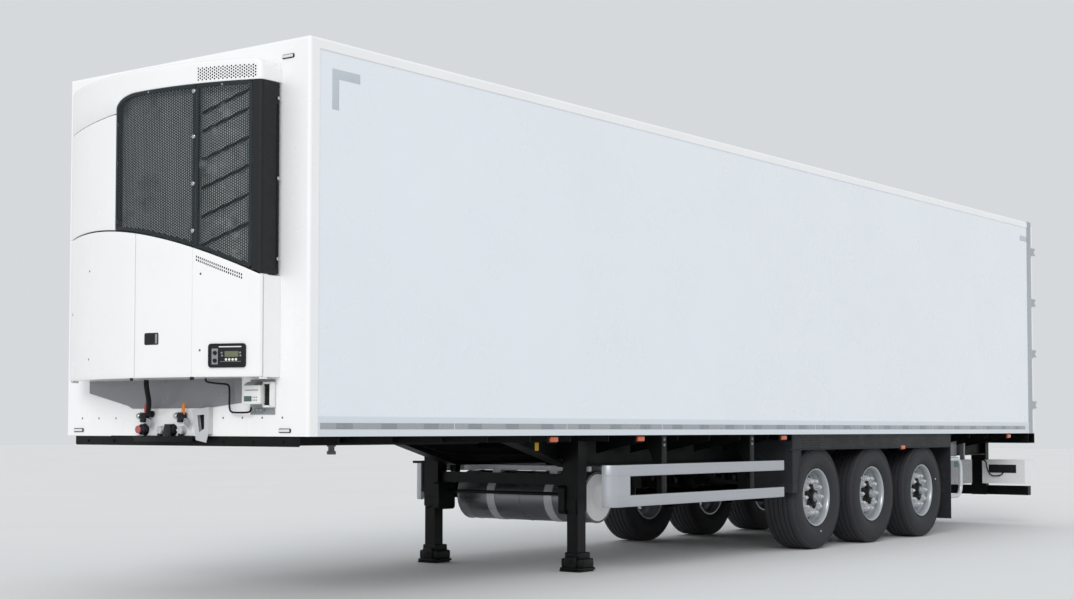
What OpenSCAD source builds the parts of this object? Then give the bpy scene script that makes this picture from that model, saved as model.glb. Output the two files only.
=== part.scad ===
// Three-axle refrigerated semi trailer, parked on its landing legs and wheels.
// Millimetres. +X forward, +Y left, +Z up. The origin is on the ground, in the
// middle of the overall length and width.

/* [Box body] */
// Length of the box over its front wall and rear doors
box_len = 13600; // [12800:50:16400]
// Width of the box
box_w = 2600; // [2160:10:3130]
// Height of the box, from the underside of its base rails to the roof
box_h = 2770; // [2560:10:3330]
// Height of the base rails' underside above the ground
bed_z = 1190; // [1180:5:1250]
// Thickness of a side wall
wall_t = 60; // [45:1:80]
// Thickness of the front wall
front_t = 60; // [45:1:90]
// Thickness of the roof
roof_t = 80; // [60:1:100]
// Thickness of the floor
floor_t = 125; // [100:1:150]
// Height of a base rail
base_rail_h = 140; // [130:1:180]
// Height of a roof rail
roof_rail_h = 80; // [65:1:110]
// Length of a corner post along the side wall
post_len = 96; // [90:1:130]
// Width of a corner post across the front wall
post_w = 95; // [80:1:130]
// Width of a reflective strip's recess in the base rail
tape_h = 48; // [40:1:60]

/* [Rear doors] */
// Thickness of a rear door
door_t = 85; // [60:1:100]
// Gap between the two rear doors
door_gap = 24; // [22:1:40]
// Distance of the hinge pins behind the doors' outer faces
hinge_back = 60; // [54:1:80]
// Radius of a hinge pin
hinge_pin_r = 7; // [5:0.5:8]
// Number of hinges on each door
hinge_count = 4; // [3:1:6]
// Radius of a lock rod
lock_rod_r = 13.5; // [10:0.5:16]

/* [Refrigeration unit] */
// Width of the unit
unit_w = 2060; // [1720:10:2400]
// Height of the unit
unit_h = 2210; // [2100:10:2300]
// Height of the unit's underside above the box's underside
unit_up = 410; // [380:5:430]
// Depth of the unit in the middle
unit_depth = 430; // [380:5:480]
// Depth of the unit at its sides
unit_side_depth = 190; // [170:5:230]
// Thickness of the unit's shells and doors
shell_t = 22; // [16:1:28]
// Width of the louvred opening
grille_w = 1260; // [1100:10:1400]
// Height of the louvred opening at the middle of the unit
grille_h = 1035; // [900:5:1060]

/* [Chassis] */
// Distance of the kingpin behind the box's front face
kingpin_back = 1600; // [1400:10:1700]
// Distance between the two main beams' webs
beam_gap = 1300; // [1200:10:1310]
// Width of a main beam's flanges
flange_w = 130; // [110:5:150]
// Thickness of a main beam's flanges
flange_t = 14; // [10:1:18]
// Thickness of a main beam's web
web_t = 8; // [6:1:12]
// Depth of a main beam behind the neck
beam_h = 285; // [270:5:300]
// Depth of a main beam at the neck
neck_h = 60; // [55:1:70]
// Distance behind the front face at which the neck ends
neck_end = 3050; // [2700:10:3100]
// Distance behind the front face at which the beams reach full depth
slope_end = 3900; // [3700:10:3950]
// Distance between two cross members
cross_pitch = 560; // [450:5:700]

/* [Running gear] */
// Distance of the last axle in front of the box's rear face
axle_rear = 3340; // [3200:10:3600]
// Distance between two axles
axle_pitch = 1310; // [1300:10:1400]
// Outer radius of a tyre
tyre_r = 536; // [520:1:545]
// Width of a tyre
tyre_w = 385; // [320:1:400]
// Distance between the left and right wheels' middle planes
track_w = 2055; // [2040:5:2080]
// Radius of the rim's bead seat
rim_r = 286; // [280:1:300]
// Radius of an axle tube
axle_r = 63.5; // [55:0.5:70]

/* [Landing legs] */
// Distance of the landing legs behind the front face
leg_back = 3850; // [3500:10:3850]
// Distance between the two legs' middle planes
leg_gap = 1630; // [1600:5:1700]
// Width of a leg's outer tube
leg_w = 130; // [110:1:150]
// Width of a foot
foot_w = 232; // [200:1:260]

/* [Fuel tank] */
// Radius of the fuel tank
tank_r = 228; // [190:1:240]
// Length of the fuel tank between its end caps
tank_len = 1440; // [1200:10:1700]
// Distance of the fuel tank's middle behind the box's front face
tank_back = 4315; // [4280:5:4400]
// Distance between the tank's two straps
strap_gap = 660; // [500:10:900]

/* [Side guards and mudguards] */
// Height of a side guard's rail
guard_rail_h = 100; // [80:1:120]
// Height of the guard's lower edge above the ground
guard_z = 566; // [470:2:600]
// Distance between the two rails of a side guard
guard_gap = 165; // [140:5:200]

/* [Rear end] */
// Height of the underrun bar
bumper_h = 120; // [100:1:140]
// Height of the underrun bar's lower edge above the ground
bumper_z = 380; // [330:5:400]
// Height of a lamp carrier
lamp_h = 310; // [250:5:340]

/* [Hidden] */
$fn = 64;

// Overall length: the rear buffers stand out behind the doors, the unit in front of the box.
rear_over = 80;
x_front = (box_len + rear_over - unit_depth) / 2;
function at(d) = x_front - d;
half_w = box_w / 2;
roof_z = bed_z + box_h;
floor_z = bed_z + floor_t;
skin_inset = 6;
rail_t = wall_t + skin_inset + 4;
edge_r = 24;

// Rear portal and doors
portal_gap = 6;
portal_t = 130;
portal_back = box_len - door_t - portal_gap;
portal_front = portal_back - portal_t;
portal_post = 78;
portal_head = 120;
door_edge = 16;
door_z0 = bed_z + 35;
door_z1 = roof_z - 45;
door_h = door_z1 - door_z0;
hinge_y = half_w - 14;
hinge_ear = 26;
hinge_knuckle = 40;
hinge_play = 1;
knuckle_r = hinge_pin_r + 5;
running_play = 0.06;
lock_off = lock_rod_r + 10;
lock_rods = [door_gap / 2 + 200, door_gap / 2 + 820];

// Main beams
web_y = beam_gap / 2;
neck_z = bed_z - neck_h;
beam_z = bed_z - beam_h;
beam_front = 320;
beam_rear = box_len - 250;
sill_h = 128;
sill_back = 13;

// Running gear
axle_back = box_len - axle_rear - 2 * axle_pitch;
axle_z = tyre_r;
wheel_y = track_w / 2;
function axle_at(i) = at(axle_back + i * axle_pitch);
spindle_r = 45;

// Refrigeration unit: its front is part of an upright cylinder
unit_z = bed_z + unit_up;
unit_top = unit_z + unit_h;
bulge = unit_depth - unit_side_depth;
unit_r = (pow(unit_w / 2, 2) + pow(bulge, 2)) / (2 * bulge);
unit_axis = unit_depth - unit_r;
seam = 8;
unit_hinge_r = 12;
unit_hinge_x = x_front + unit_side_depth - unit_hinge_r;
unit_hinge_y = unit_w / 2 - unit_hinge_r - 2;
unit_pin_r = 5;
door_rise_r = 3676;
door_top = unit_z + 1090;
door_rise_y = -600;
grille_side = unit_w / 2 - grille_w - 10;
grille_top = unit_top - 155;
cover_top = unit_top - 320;

// Landing gear and tank
leg_y = leg_gap / 2;
tank_z = beam_z - 52 - tank_r;

module block(d0, d1, y0, y1, z0, z1) {
    translate([at(d1), y0, z0]) cube([d1 - d0, y1 - y0, z1 - z0]);
}

module both() {
    children();
    mirror([0, 1, 0]) children();
}

// A bar of the given section, standing along X from d0 to d1
module along_x(d0, d1) {
    translate([at(d1), 0, 0]) rotate([90, 0, 90]) linear_extrude(d1 - d0) children();
}

// A plate drawn in X and Z, from y0 to y1
module plate_xz(y0, y1) {
    translate([0, y1, 0]) rotate([90, 0, 0]) linear_extrude(y1 - y0) children();
}

module cyl_y(r, y0, y1) {
    translate([0, y0, 0]) rotate([-90, 0, 0]) cylinder(r = r, h = y1 - y0);
}

module rounded_rect(w, h, r) {
    hull() for (x = [r, w - r], y = [r, h - r]) translate([x, y]) circle(r = r);
}

module floor() {
    color([0.55, 0.56, 0.57])
        block(front_t, portal_front, -(half_w - rail_t), half_w - rail_t, bed_z, floor_z);
}

module side_wall() {
    color([0.93, 0.94, 0.95])
        block(post_len, portal_front, half_w - skin_inset - wall_t, half_w - skin_inset,
            bed_z + base_rail_h, roof_z - roof_rail_h);
}

module side_wall_left() { side_wall(); }
module side_wall_right() { mirror([0, 1, 0]) side_wall(); }

// The front wall has an opening high up, which the evaporator fills
evap_w = 1500;
evap_h = 560;
evap_z = roof_z - 180 - evap_h;
module front_wall() {
    color([0.95, 0.95, 0.95]) difference() {
        block(0, front_t, -(half_w - post_w), half_w - post_w, bed_z, roof_z - roof_rail_h);
        block(-1, front_t + 1, -evap_w / 2, evap_w / 2, evap_z, evap_z + evap_h);
    }
}

module roof() {
    color([0.93, 0.94, 0.95])
        block(post_len, portal_front, -(half_w - rail_t), half_w - rail_t, roof_z - roof_t, roof_z);
}

// Extruded rails along the floor's edges, with a shallow recess for the reflective strip
module base_rails() {
    color([0.86, 0.88, 0.9]) both() along_x(post_len, portal_front)
        difference() {
            translate([half_w - rail_t, bed_z]) square([rail_t, base_rail_h]);
            translate([half_w - 2, bed_z + tape_h]) square([3, tape_h]);
        }
}

// Corner posts at the front, the header between them and the two roof rails
module edge_rails() {
    color([0.93, 0.94, 0.95]) {
        both() translate([x_front, half_w, bed_z]) linear_extrude(box_h - roof_rail_h) difference() {
            translate([-post_len, -post_w]) square([post_len, post_w]);
            translate([-post_len - 1, -post_w - 1])
                square([post_len - front_t + 1, post_w - wall_t - skin_inset + 1]);
            corner_cut();
        }
        both() along_x(post_len, portal_front) translate([half_w, roof_z]) difference() {
            translate([-rail_t, -roof_rail_h]) square([rail_t, roof_rail_h]);
            corner_cut();
        }
        difference() {
            block(0, post_len, -half_w, half_w, roof_z - roof_rail_h, roof_z);
            translate([x_front, half_w + 1, roof_z]) rotate([90, 0,
                0]) linear_extrude(box_w + 2) corner_cut();
            both() along_x(-1, post_len + 1) translate([half_w, roof_z]) corner_cut();
            both() translate([x_front, half_w, roof_z - roof_rail_h - 1])
                linear_extrude(roof_rail_h + 2) corner_cut();
        }
    }
}

// What an outer corner of radius edge_r at the origin leaves outside
module corner_cut() {
    difference() {
        translate([-edge_r, -edge_r]) square(edge_r + 1);
        translate([-edge_r, -edge_r]) circle(r = edge_r);
    }
}

function hinge_z(i) = door_z0 + door_h * (i + 0.5) / hinge_count;

// The portal: two posts, header and sill, with the fixed halves of the door hinges
module rear_frame() {
    color([0.8, 0.81, 0.82]) difference() {
        union() {
            block(portal_front, portal_back, -half_w, half_w, bed_z, roof_z);
            block(portal_back, box_len - 5, -(half_w - 30), half_w - 30, bed_z, door_z0 - 10);
            block(portal_back, box_len - 5, -(half_w - 30), half_w - 30, door_z1 + 10, roof_z);
            both() {
                for (i = [0:hinge_count - 1]) fixed_hinge(hinge_z(i));
                for (y = lock_rods, z = [bed_z, door_z1 + 10]) keeper(y, z);
            }
        }
        block(portal_front - 1, portal_back + 1, -(half_w - portal_post), half_w - portal_post,
            floor_z, roof_z - portal_head);
    }
}

// Strap on the post, with two ears that hold the pin
module fixed_hinge(z) {
    ear_z = hinge_knuckle / 2 + hinge_play;
    translate([at(box_len + hinge_back), hinge_y, z]) {
        for (s = [0, 1]) mirror([0, 0, s]) translate([0, 0, ear_z]) {
            cylinder(r = knuckle_r, h = hinge_ear);
            translate([0, 4, 0]) cube([hinge_back + door_t + 40, 10, hinge_ear]);
        }
        translate([hinge_back - 34, 4, -ear_z - 1]) cube([door_t + 74, 10, 2 * ear_z + 2]);
        translate([0, 0, -ear_z - 1]) cylinder(r = hinge_pin_r, h = 2 * ear_z + 2);
    }
}

// Two cheeks beside the end of a lock rod
module keeper(y, z) {
    for (s = [-1, 1]) block(box_len - 6, box_len + lock_off, y + s * 44 - 5, y + s * 44 + 5, z + 2, z + 24);
}

module evaporator() {
    color([0.82, 0.83, 0.84])
        block(0, front_t + 190, -evap_w / 2, evap_w / 2, evap_z, evap_z + evap_h);
}

// Depth line of a beam's underside, from the front to the rear, raised by up
function beam_line(up) = [[at(beam_front), neck_z + up], [at(neck_end), neck_z + up],
    [at(slope_end), beam_z + up], [at(beam_rear), beam_z + up]];
function reversed(a) = [for (i = [len(a) - 1:-1:0]) a[i]];

module main_beams() {
    color([0.07, 0.07, 0.08]) both() {
        plate_xz(web_y - web_t / 2, web_y + web_t / 2)
            polygon(concat([[at(beam_rear), bed_z], [at(beam_front), bed_z]], beam_line(0)));
        plate_xz(web_y - flange_w / 2, web_y + flange_w / 2)
            polygon(concat(beam_line(0), reversed(beam_line(flange_t))));
        block(beam_front, beam_rear, web_y - flange_w / 2, web_y + flange_w / 2, bed_z - flange_t, bed_z);
    }
}

// Cross members between the beams and tapered outriggers beside them, under the floor;
// above the wheels the outriggers stay shallow, clear of the mudguards
cross_t = 6;
cross_flange = 50;
cross_count = floor((beam_rear - beam_front - 200) / cross_pitch);
arm_deep = 170;
arm_shallow = neck_h - 6;
function cross_at(i) = beam_front + 60 + i * cross_pitch;
function arm_depth(d) = d < slope_end || (d > mud_front - 60 && d < mud_rear + 10) ? arm_shallow : arm_deep;
module cross_members() {
    arm_in = web_y + flange_w / 2;
    arm_out = half_w - rail_t;
    color([0.09, 0.09, 0.1]) for (i = [0:cross_count]) {
        d = cross_at(i);
        mid_h = d < slope_end ? neck_h - 2 * flange_t : 110;
        block(d, d + cross_t, -(web_y - web_t / 2), web_y - web_t / 2,
            bed_z - flange_t - mid_h, bed_z - flange_t);
        block(d, d + cross_flange, -(web_y - flange_w / 2), web_y - flange_w / 2, bed_z - cross_t, bed_z);
        block(d, d + cross_t, -(web_y - flange_w / 2), web_y - flange_w / 2, bed_z - flange_t, bed_z);
        both() {
            translate([at(d + cross_t), 0, bed_z]) rotate([90, 0, 90]) linear_extrude(cross_t)
                polygon([[arm_in, 0], [arm_out, 0], [arm_out, -arm_shallow], [arm_in, -arm_depth(d)]]);
            block(d, d + cross_flange, arm_in, arm_out, bed_z - cross_t, bed_z);
        }
    }
}

// Skid plate with the hole that the kingpin passes through
plate_t = 10;
pin_collar_r = 36.5;
pin_neck_r = 25.4;
module coupling_plate() {
    color([0.12, 0.12, 0.13]) difference() {
        block(kingpin_back - 1150, kingpin_back + 1000, -(web_y + flange_w / 2), web_y + flange_w / 2,
            neck_z - plate_t, neck_z);
        translate([at(kingpin_back), 0, neck_z - plate_t - 1]) cylinder(r = pin_collar_r + 1,
            h = plate_t + 2);
    }
}

// Two-inch kingpin: flange, upper collar, neck and lower collar
module kingpin() {
    color([0.6, 0.6, 0.62]) translate([at(kingpin_back), 0, neck_z - plate_t]) {
        translate([0, 0, plate_t]) cylinder(r = 90, h = 14);
        translate([0, 0, -21]) cylinder(r = pin_collar_r, h = 21 + plate_t);
        translate([0, 0, -56]) cylinder(r = pin_neck_r, h = 36);
        translate([0, 0, -84]) cylinder(r = pin_collar_r, h = 28);
    }
}

leg_top = bed_z - 40;
leg_low = 525;
inner_leg_w = leg_w - 14;
leg_tube_t = 6;
foot_t = 12;
foot_h = 105;
mount_t = 12;
brace_z = 750;
brace_h = 95;
// One leg about its own axis, as on the left: tubes, mounting flange, gear housing and foot
module landing_leg() {
    beam_side = web_y + web_t / 2 - leg_y;
    difference() {
        translate([-leg_w / 2, -leg_w / 2, leg_low]) cube([leg_w, leg_w, leg_top - leg_low]);
        translate([leg_tube_t - leg_w / 2, leg_tube_t - leg_w / 2, leg_low - 1])
            cube([leg_w - 2 * leg_tube_t, leg_w - 2 * leg_tube_t, leg_top - leg_low - leg_tube_t]);
    }
    for (x = [leg_w / 2 - mount_t, -leg_w / 2])
        translate([x, beam_side, beam_z + 75])
            cube([mount_t, -beam_side - leg_w / 2, bed_z - beam_z - 75 - flange_t]);
    for (x = [leg_w / 2 - mount_t, -leg_w / 2])
        translate([x, web_y + flange_w / 2 + 0.3 - leg_y, leg_low + 55])
            cube([mount_t, leg_y - leg_w / 2 - web_y - flange_w / 2 - 0.3, beam_z + 75 - leg_low - 55]);
    translate([leg_w / 2, 0, leg_low + 30]) rotate([90, 0, 90]) linear_extrude(8)
        polygon([[-leg_w / 2 - 40, 40], [leg_w / 2 - 20, 60], [leg_w / 2 - 20, -60], [-leg_w / 2 - 40, 20]]);
    translate([-150, -leg_w / 2 - 66, leg_low - 30]) rotate([-90, 0, 0]) mirror([0, 1, 0])
        linear_extrude(66) rounded_rect(240, brace_z - leg_low + 29, 34);
}

// Inner tube and foot of one leg; it slides in the outer tube with 0.4 mm of play
module landing_foot() {
    tube_in = leg_w / 2 - leg_tube_t - 0.4;
    translate([-tube_in, -tube_in, foot_h]) cube([2 * tube_in, 2 * tube_in, leg_top - foot_h - 160]);
    translate([-foot_w / 2, -foot_w / 2, 0]) linear_extrude(foot_t) rounded_rect(foot_w, foot_w, 34);
    for (a = [0, 90, 180, 270]) rotate([0, 0, a]) translate([tube_in, 0, foot_t]) rotate([90, 0, 90])
        linear_extrude(10) polygon([[-95, 0], [95, 0], [58, 70], [46, 120], [-46, 120], [-58, 70]]);
    translate([-tube_in, -tube_in, foot_t]) cube([2 * tube_in, 2 * tube_in, foot_h - foot_t]);
}

module landing_legs() {
    color([0.06, 0.06, 0.07]) both() translate([at(leg_back), leg_y, 0]) {
        landing_leg();
        landing_foot();
    }
}

shaft_r = 16;
shaft_z = leg_low + 140;
// Channel between the two legs, the shaft between their gear housings, and the crank on the right
module landing_shaft() {
    brace_y = leg_y - leg_w / 2 - 0.3;
    shaft_y = leg_y - leg_w / 2 - 66;
    color([0.1, 0.1, 0.11]) translate([at(leg_back), 0, 0]) {
        translate([-20, 0, brace_z]) for (part = [[0, 0, 8, brace_h], [0, 0, 46, 8], [0, brace_h - 8, 46, 8]])
            translate([38 - part[0] - part[2], -brace_y, part[1]]) cube([part[2], 2 * brace_y, part[3]]);
        translate([-60, 0, shaft_z]) cyl_y(shaft_r, -shaft_y, shaft_y);
        translate([0, 0, shaft_z]) {
            cyl_y(shaft_r, -leg_y - leg_w / 2 - 80, -leg_y - leg_w / 2);
            translate([-12, -leg_y - leg_w / 2 - 80, -12]) cube([24, 24, 290]);
            translate([0, 0, 264]) cyl_y(12, -leg_y - leg_w / 2 - 190, -leg_y - leg_w / 2 - 56);
        }
    }
}

// Cylinder with dished ends, each with an embossed ring; the filler neck leans out of the left end
filler_r = 27;
module fuel_tank() {
    rim = tank_len / 2;
    color([0.75, 0.76, 0.77]) translate([at(tank_back), 0, tank_z]) {
        rotate([-90, 0, 0]) rotate_extrude($fn = 96) for (s = [0, 1]) mirror([0, s])
            polygon([[0, -1], [tank_r, -1], [tank_r, rim - 12], [tank_r + 4, rim - 8], [tank_r + 4, rim],
                [tank_r - 10, rim],
                [tank_r - 16, rim + 6], [tank_r * 0.56, rim + 14], [tank_r * 0.52, rim + 20],
                [tank_r * 0.46, rim + 20],
                [tank_r * 0.42, rim + 14], [0, rim + 16]]);
        translate([-tank_r * 0.3, rim - 6, tank_r * 0.62]) rotate([-48, 0, 0]) rotate([0, -24, 0])
            cylinder(r = filler_r, h = 105);
    }
}

strap_w = 90;
bearer_h = 44;
// Two bands round the tank, hung from two bearers that lie across under the beams
module tank_straps() {
    drop = beam_z - tank_z;
    color([0.8, 0.8, 0.8]) translate([at(tank_back), 0, tank_z]) {
        difference() {
            union() {
                both() cyl_y(tank_r + 4, strap_gap / 2 - strap_w / 2, strap_gap / 2 + strap_w / 2);
                for (x = [-tank_r * 0.6, tank_r * 0.6 - 50])
                    translate([x, -(web_y + flange_w / 2), drop - bearer_h])
                        cube([50, 2 * web_y + flange_w, bearer_h]);
                both() for (x = [-tank_r * 0.6, tank_r * 0.6 - 50])
                    translate([x, strap_gap / 2 - strap_w / 2, 0]) cube([50, strap_w, drop - bearer_h]);
            }
            cyl_y(tank_r + 0.3, -tank_len, tank_len);
        }
    }
}

guard_front = leg_back - 96;
guard_y = half_w - 40;
guard_t = 30;
guard_bend = 110;
guard_band = 170;
far_guard_back = 300;
far_guard_band = 50;
hanger_w = 80;
hanger_t = 8;
guard_top = guard_z + 2 * guard_rail_h + guard_gap;
guard_len = axle_back - tyre_r - 290 - guard_front;
guard_posts = [0.3, 0.82];
// A hanger's place behind the front face, held between two cross members
function hanger_at(s) = let(d = guard_front + s * guard_len - cross_at(0), i = floor(d / cross_pitch))
    cross_at(i) + min(max(d - i * cross_pitch, hanger_w + cross_flange + 10), cross_pitch - 10);
// One side's rails from the rounded band to the wheels, with two hangers
module side_guard(front, band) {
    back = guard_front + guard_len;
    bend_end = front + guard_bend;
    inner = guard_y - guard_t;
    for (z = [guard_z, guard_top - guard_rail_h])
        block(bend_end + band, back, inner, guard_y, z, z + guard_rail_h);
    block(bend_end, bend_end + band, inner, guard_y, guard_z, guard_top);
    translate([at(bend_end), guard_y - guard_bend, guard_z])
        rotate_extrude(angle = 90) translate([guard_bend - guard_t, 0]) square([guard_t,
            guard_top - guard_z]);
    for (s = guard_posts) translate([at(hanger_at(s)), 0, 0]) {
        translate([0, inner - 12, guard_z]) cube([hanger_w, 12, bed_z - guard_z]);
        for (x = [0, hanger_w - hanger_t]) translate([x, 0, 0]) rotate([90, 0, 90]) linear_extrude(hanger_t)
            polygon([[inner - 12, guard_z], [inner - 12, bed_z], [inner - 190, bed_z],
                [inner - 60, guard_top - 60], [inner - 50, guard_z]]);
    }
}
// Two aluminium rails, a wide rounded band at the front and two hangers
module side_guards() {
    color([0.78, 0.79, 0.8]) {
        side_guard(guard_front, guard_band);
        mirror([0, 1, 0]) side_guard(guard_front + far_guard_back, far_guard_band);
    }
}

mud_front = axle_back - tyre_r - 100;
mud_rear = axle_back + 2 * axle_pitch + tyre_r + 170;
mud_top = 2 * tyre_r + 45;
mud_t = 10;
mud_y0 = wheel_y - tyre_w / 2 - 30;
mud_y1 = half_w - 52;
// A long plastic cover over the three wheels, with a front apron, an outer skirt and a rear flap,
// and the crossbars that carry it from the beams
module mudguards() {
    apron_z = guard_z + 34;
    color([0.2, 0.21, 0.22]) both() {
        block(mud_front, mud_rear, mud_y0, mud_y1, mud_top, mud_top + mud_t);
        plate_xz(mud_y1 - mud_t, mud_y1) polygon([[at(mud_front), bed_z], [at(mud_rear), bed_z],
            [at(mud_rear), bed_z - 160], [at(mud_front + 205), bed_z - 160], [at(mud_front + 130), apron_z],
            [at(mud_front), apron_z]]);
        block(mud_front, mud_front + mud_t, mud_y0, mud_y1, apron_z, mud_top);
        block(mud_rear - mud_t, mud_rear, mud_y0, mud_y1, 180, mud_top);
        for (d = [mud_front + 60, mud_rear - 60])
            block(d - 20, d + 20, web_y + flange_w / 2, mud_y0, mud_top - 22, mud_top + mud_t);
    }
}

hanger_fwd = 500;
pivot_z = axle_z + 130;
pivot_r = 20;
cheek_y = 46;
cheek_t = 10;
shock_low = [150, 172];
shock_high = [hanger_fwd - 120, beam_z - axle_z - 70];
// Brackets under the beams: two cheeks that hold an arm's pivot and the top of a shock absorber
module suspension_hangers() {
    top = beam_z - axle_z;
    low = pivot_z - axle_z - 60;
    color([0.08, 0.08, 0.09]) both() for (i = [0:2]) translate([axle_at(i), web_y, axle_z]) {
        for (s = [0, 1]) mirror([0, s, 0]) plate_xz(cheek_y, cheek_y + cheek_t)
            polygon([[hanger_fwd - 160, top], [hanger_fwd + 130, top], [hanger_fwd + 80, low],
                [hanger_fwd - 55, low], [hanger_fwd - 160, top - 120]]);
        plate_xz(-cheek_y, cheek_y) polygon([[hanger_fwd + 130, top], [hanger_fwd + 120, top],
            [hanger_fwd + 70, low], [hanger_fwd + 80, low]]);
        translate([hanger_fwd, 0, pivot_z - axle_z])
            cyl_y(pivot_r, -cheek_y - cheek_t - 18, cheek_y + cheek_t + 18);
        translate([shock_high[0], 0, shock_high[1]]) cyl_y(12, -cheek_y - cheek_t - 10,
            cheek_y + cheek_t + 10);
    }
}

// Each arm runs from its pivot over the axle to the air spring's seat
arm_w = 86;
seat_back = 400;
seat_r = 100;
seat_z = axle_z + 58;
lug_y = 27;
module trailing_arms() {
    top = axle_r + 50;
    seat = seat_z - axle_z;
    color([0.1, 0.1, 0.11]) both() for (i = [0:2]) translate([axle_at(i), web_y, axle_z]) difference() {
        union() {
            plate_xz(-arm_w / 2, arm_w / 2) polygon([[hanger_fwd, pivot_z - axle_z - 30],
                [hanger_fwd, pivot_z - axle_z + 30], [80, top], [-110, top],
                [-seat_back + seat_r, seat], [-seat_back - seat_r, seat], [-seat_back - seat_r, seat - 22],
                [-seat_back + 60, seat - 34], [-130, 0], [-80, 0], [-80, -40], [80, -40], [80, 30]]);
            translate([-seat_back, 0, seat - 14]) cylinder(r = seat_r, h = 14);
            translate([hanger_fwd, 0, pivot_z - axle_z]) cyl_y(pivot_r + 16, -cheek_y + 2, cheek_y - 2);
            for (s = [0, 1]) mirror([0, s, 0]) plate_xz(lug_y, lug_y + 9) polygon([[shock_low[0] - 60,
                top - 10],
                [shock_low[0] + 60, top - 10], [shock_low[0] + 22, shock_low[1] + 22],
                [shock_low[0] - 22, shock_low[1] + 22]]);
        }
        translate([hanger_fwd, 0, pivot_z - axle_z]) cyl_y(pivot_r + running_play, -60, 60);
        translate([shock_low[0], 0, shock_low[1]]) cyl_y(12 + running_play, -60, 60);
        cyl_y(axle_r + 0.3, -60, 60);
    }
}

spring_r = 145;
module air_springs() {
    color([0.05, 0.05, 0.05]) both() for (i = [0:2]) translate([axle_at(i) - seat_back, web_y, seat_z]) {
        h = beam_z - seat_z;
        rotate_extrude() polygon([[0, 0], [seat_r - 12, 0], [seat_r - 6, h * 0.3], [spring_r - 22, h * 0.36],
            [spring_r - 6, h * 0.44], [spring_r, h * 0.58], [spring_r, h * 0.7], [spring_r - 8, h * 0.84],
            [spring_r - 30, h * 0.94], [spring_r - 30, h], [0, h]]);
    }
}

// Inclined dampers with an eye at each end; the pin at the lower eye is the damper's own
module shock_absorbers() {
    reach = shock_high - shock_low;
    lean = atan2(reach[0], reach[1]);
    color([0.3, 0.3, 0.31]) both() for (i = [0:2])
        translate([axle_at(i) + shock_low[0], web_y, axle_z + shock_low[1]]) {
            cyl_y(12, -lug_y - 18, lug_y + 18);
            difference() {
                union() {
                    cyl_y(22, -lug_y + 2, lug_y - 2);
                    rotate([0, lean, 0]) {
                        translate([0, 0, 15]) cylinder(r = 14, h = norm(reach) - 30);
                        translate([0, 0, 52]) cylinder(r = 32, h = norm(reach) * 0.5);
                        translate([0, 0, norm(reach)]) cyl_y(22, -cheek_y + 2, cheek_y - 2);
                    }
                }
                rotate([0, lean, 0]) translate([0, 0, norm(reach)]) cyl_y(12 + running_play, -60, 60);
            }
        }
}

brake_y = wheel_y - 165;
brake_disc_r = 215;
disc_w = 45;
// Axle tubes with spindles, caliper bodies and brake chambers
module axles() {
    color([0.08, 0.08, 0.09]) for (i = [0:2]) translate([axle_at(i), 0, axle_z]) {
        cyl_y(axle_r, -(brake_y - 20), brake_y - 20);
        both() {
            cyl_y(spindle_r, 0, wheel_y + 110);
            translate([-150, brake_y - 100, -130]) cube([200, 72, 110]);
            translate([-165, 0, -92]) {
                cyl_y(74, brake_y - 225, brake_y - 125);
                cyl_y(30, brake_y - 130, brake_y - 90);
            }
        }
    }
}

tank_cross = 9;
air_r = 123;
// Two air reservoirs between the beams, strapped up to the floor's underside
module air_tanks() {
    length = 760;
    drop = 150 + air_r;
    mid = cross_at(tank_cross) + 0.7 * cross_pitch;
    color([0.12, 0.12, 0.13]) both() translate([at(mid), web_y / 2, bed_z - drop]) {
        translate([-length / 2, 0, 0]) rotate([0, 90, 0]) cylinder(r = air_r, h = length);
        for (s = [-1, 1]) translate([s * length / 2, 0, 0]) rotate([0, s * 90, 0])
            cylinder(r1 = air_r - 12, r2 = air_r - 55, h = 34);
        translate([-0.3 * cross_pitch, -30, 0]) cube([40, 60, drop]);
        translate([0.2 * cross_pitch - 40, -30, 0]) cube([40, 60, drop]);
    }
}

bumper_d = 100;
upright_w = 200;
upright_y = web_y - upright_w + 70;
// Bar across the rear with end caps, on two uprights under the beams' ends
module underrun_bumper() {
    color([0.05, 0.05, 0.06]) {
        block(box_len - 150, box_len - 150 + bumper_d, -(half_w - 50), half_w - 50,
            bumper_z, bumper_z + bumper_h);
        both() {
            block(beam_rear, beam_rear + 12, upright_y, upright_y + upright_w, bumper_z, bed_z);
            for (y = [upright_y + 30, upright_y + upright_w - 12])
                block(beam_rear + 12, box_len - 150, y, y + 12, bumper_z, bed_z - sill_h - 0.3);
        }
    }
}

// Box section across the rear under the floor
module rear_sill() {
    color([0.05, 0.05, 0.06]) difference() {
        block(beam_rear + 12.3, box_len - sill_back, -half_w + 8, half_w - 8, bed_z - sill_h, bed_z);
        block(beam_rear + 20, box_len - sill_back - 8, -half_w - 1, half_w + 1, bed_z - sill_h + 8,
            bed_z - 8);
    }
}

lamp_z = bumper_z + bumper_h + 32;
lamp_front = box_len - 370;
lamp_in = upright_y + upright_w;
// Folded sheet housings for the rear lamps, open below and behind, with a window in the front plate
module lamp_carriers() {
    sheet = 5;
    out = half_w - 8;
    width = out - lamp_in;
    color([0.72, 0.73, 0.74]) both() {
        difference() {
            block(lamp_front, box_len - 30, lamp_in, out, lamp_z, lamp_z + lamp_h);
            block(lamp_front + sheet, box_len, lamp_in + sheet, out - sheet,
                lamp_z - 1, lamp_z + lamp_h - sheet);
            block(lamp_front - 1, lamp_front + sheet + 1, lamp_in + 0.15 * width, lamp_in + 0.8 * width,
                lamp_z + 0.45 * lamp_h, lamp_z + 0.8 * lamp_h);
        }
        block(box_len - 80, box_len - 30, lamp_in + sheet + 40, out - sheet, lamp_z + 40, lamp_z + 190);
    }
}

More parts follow.
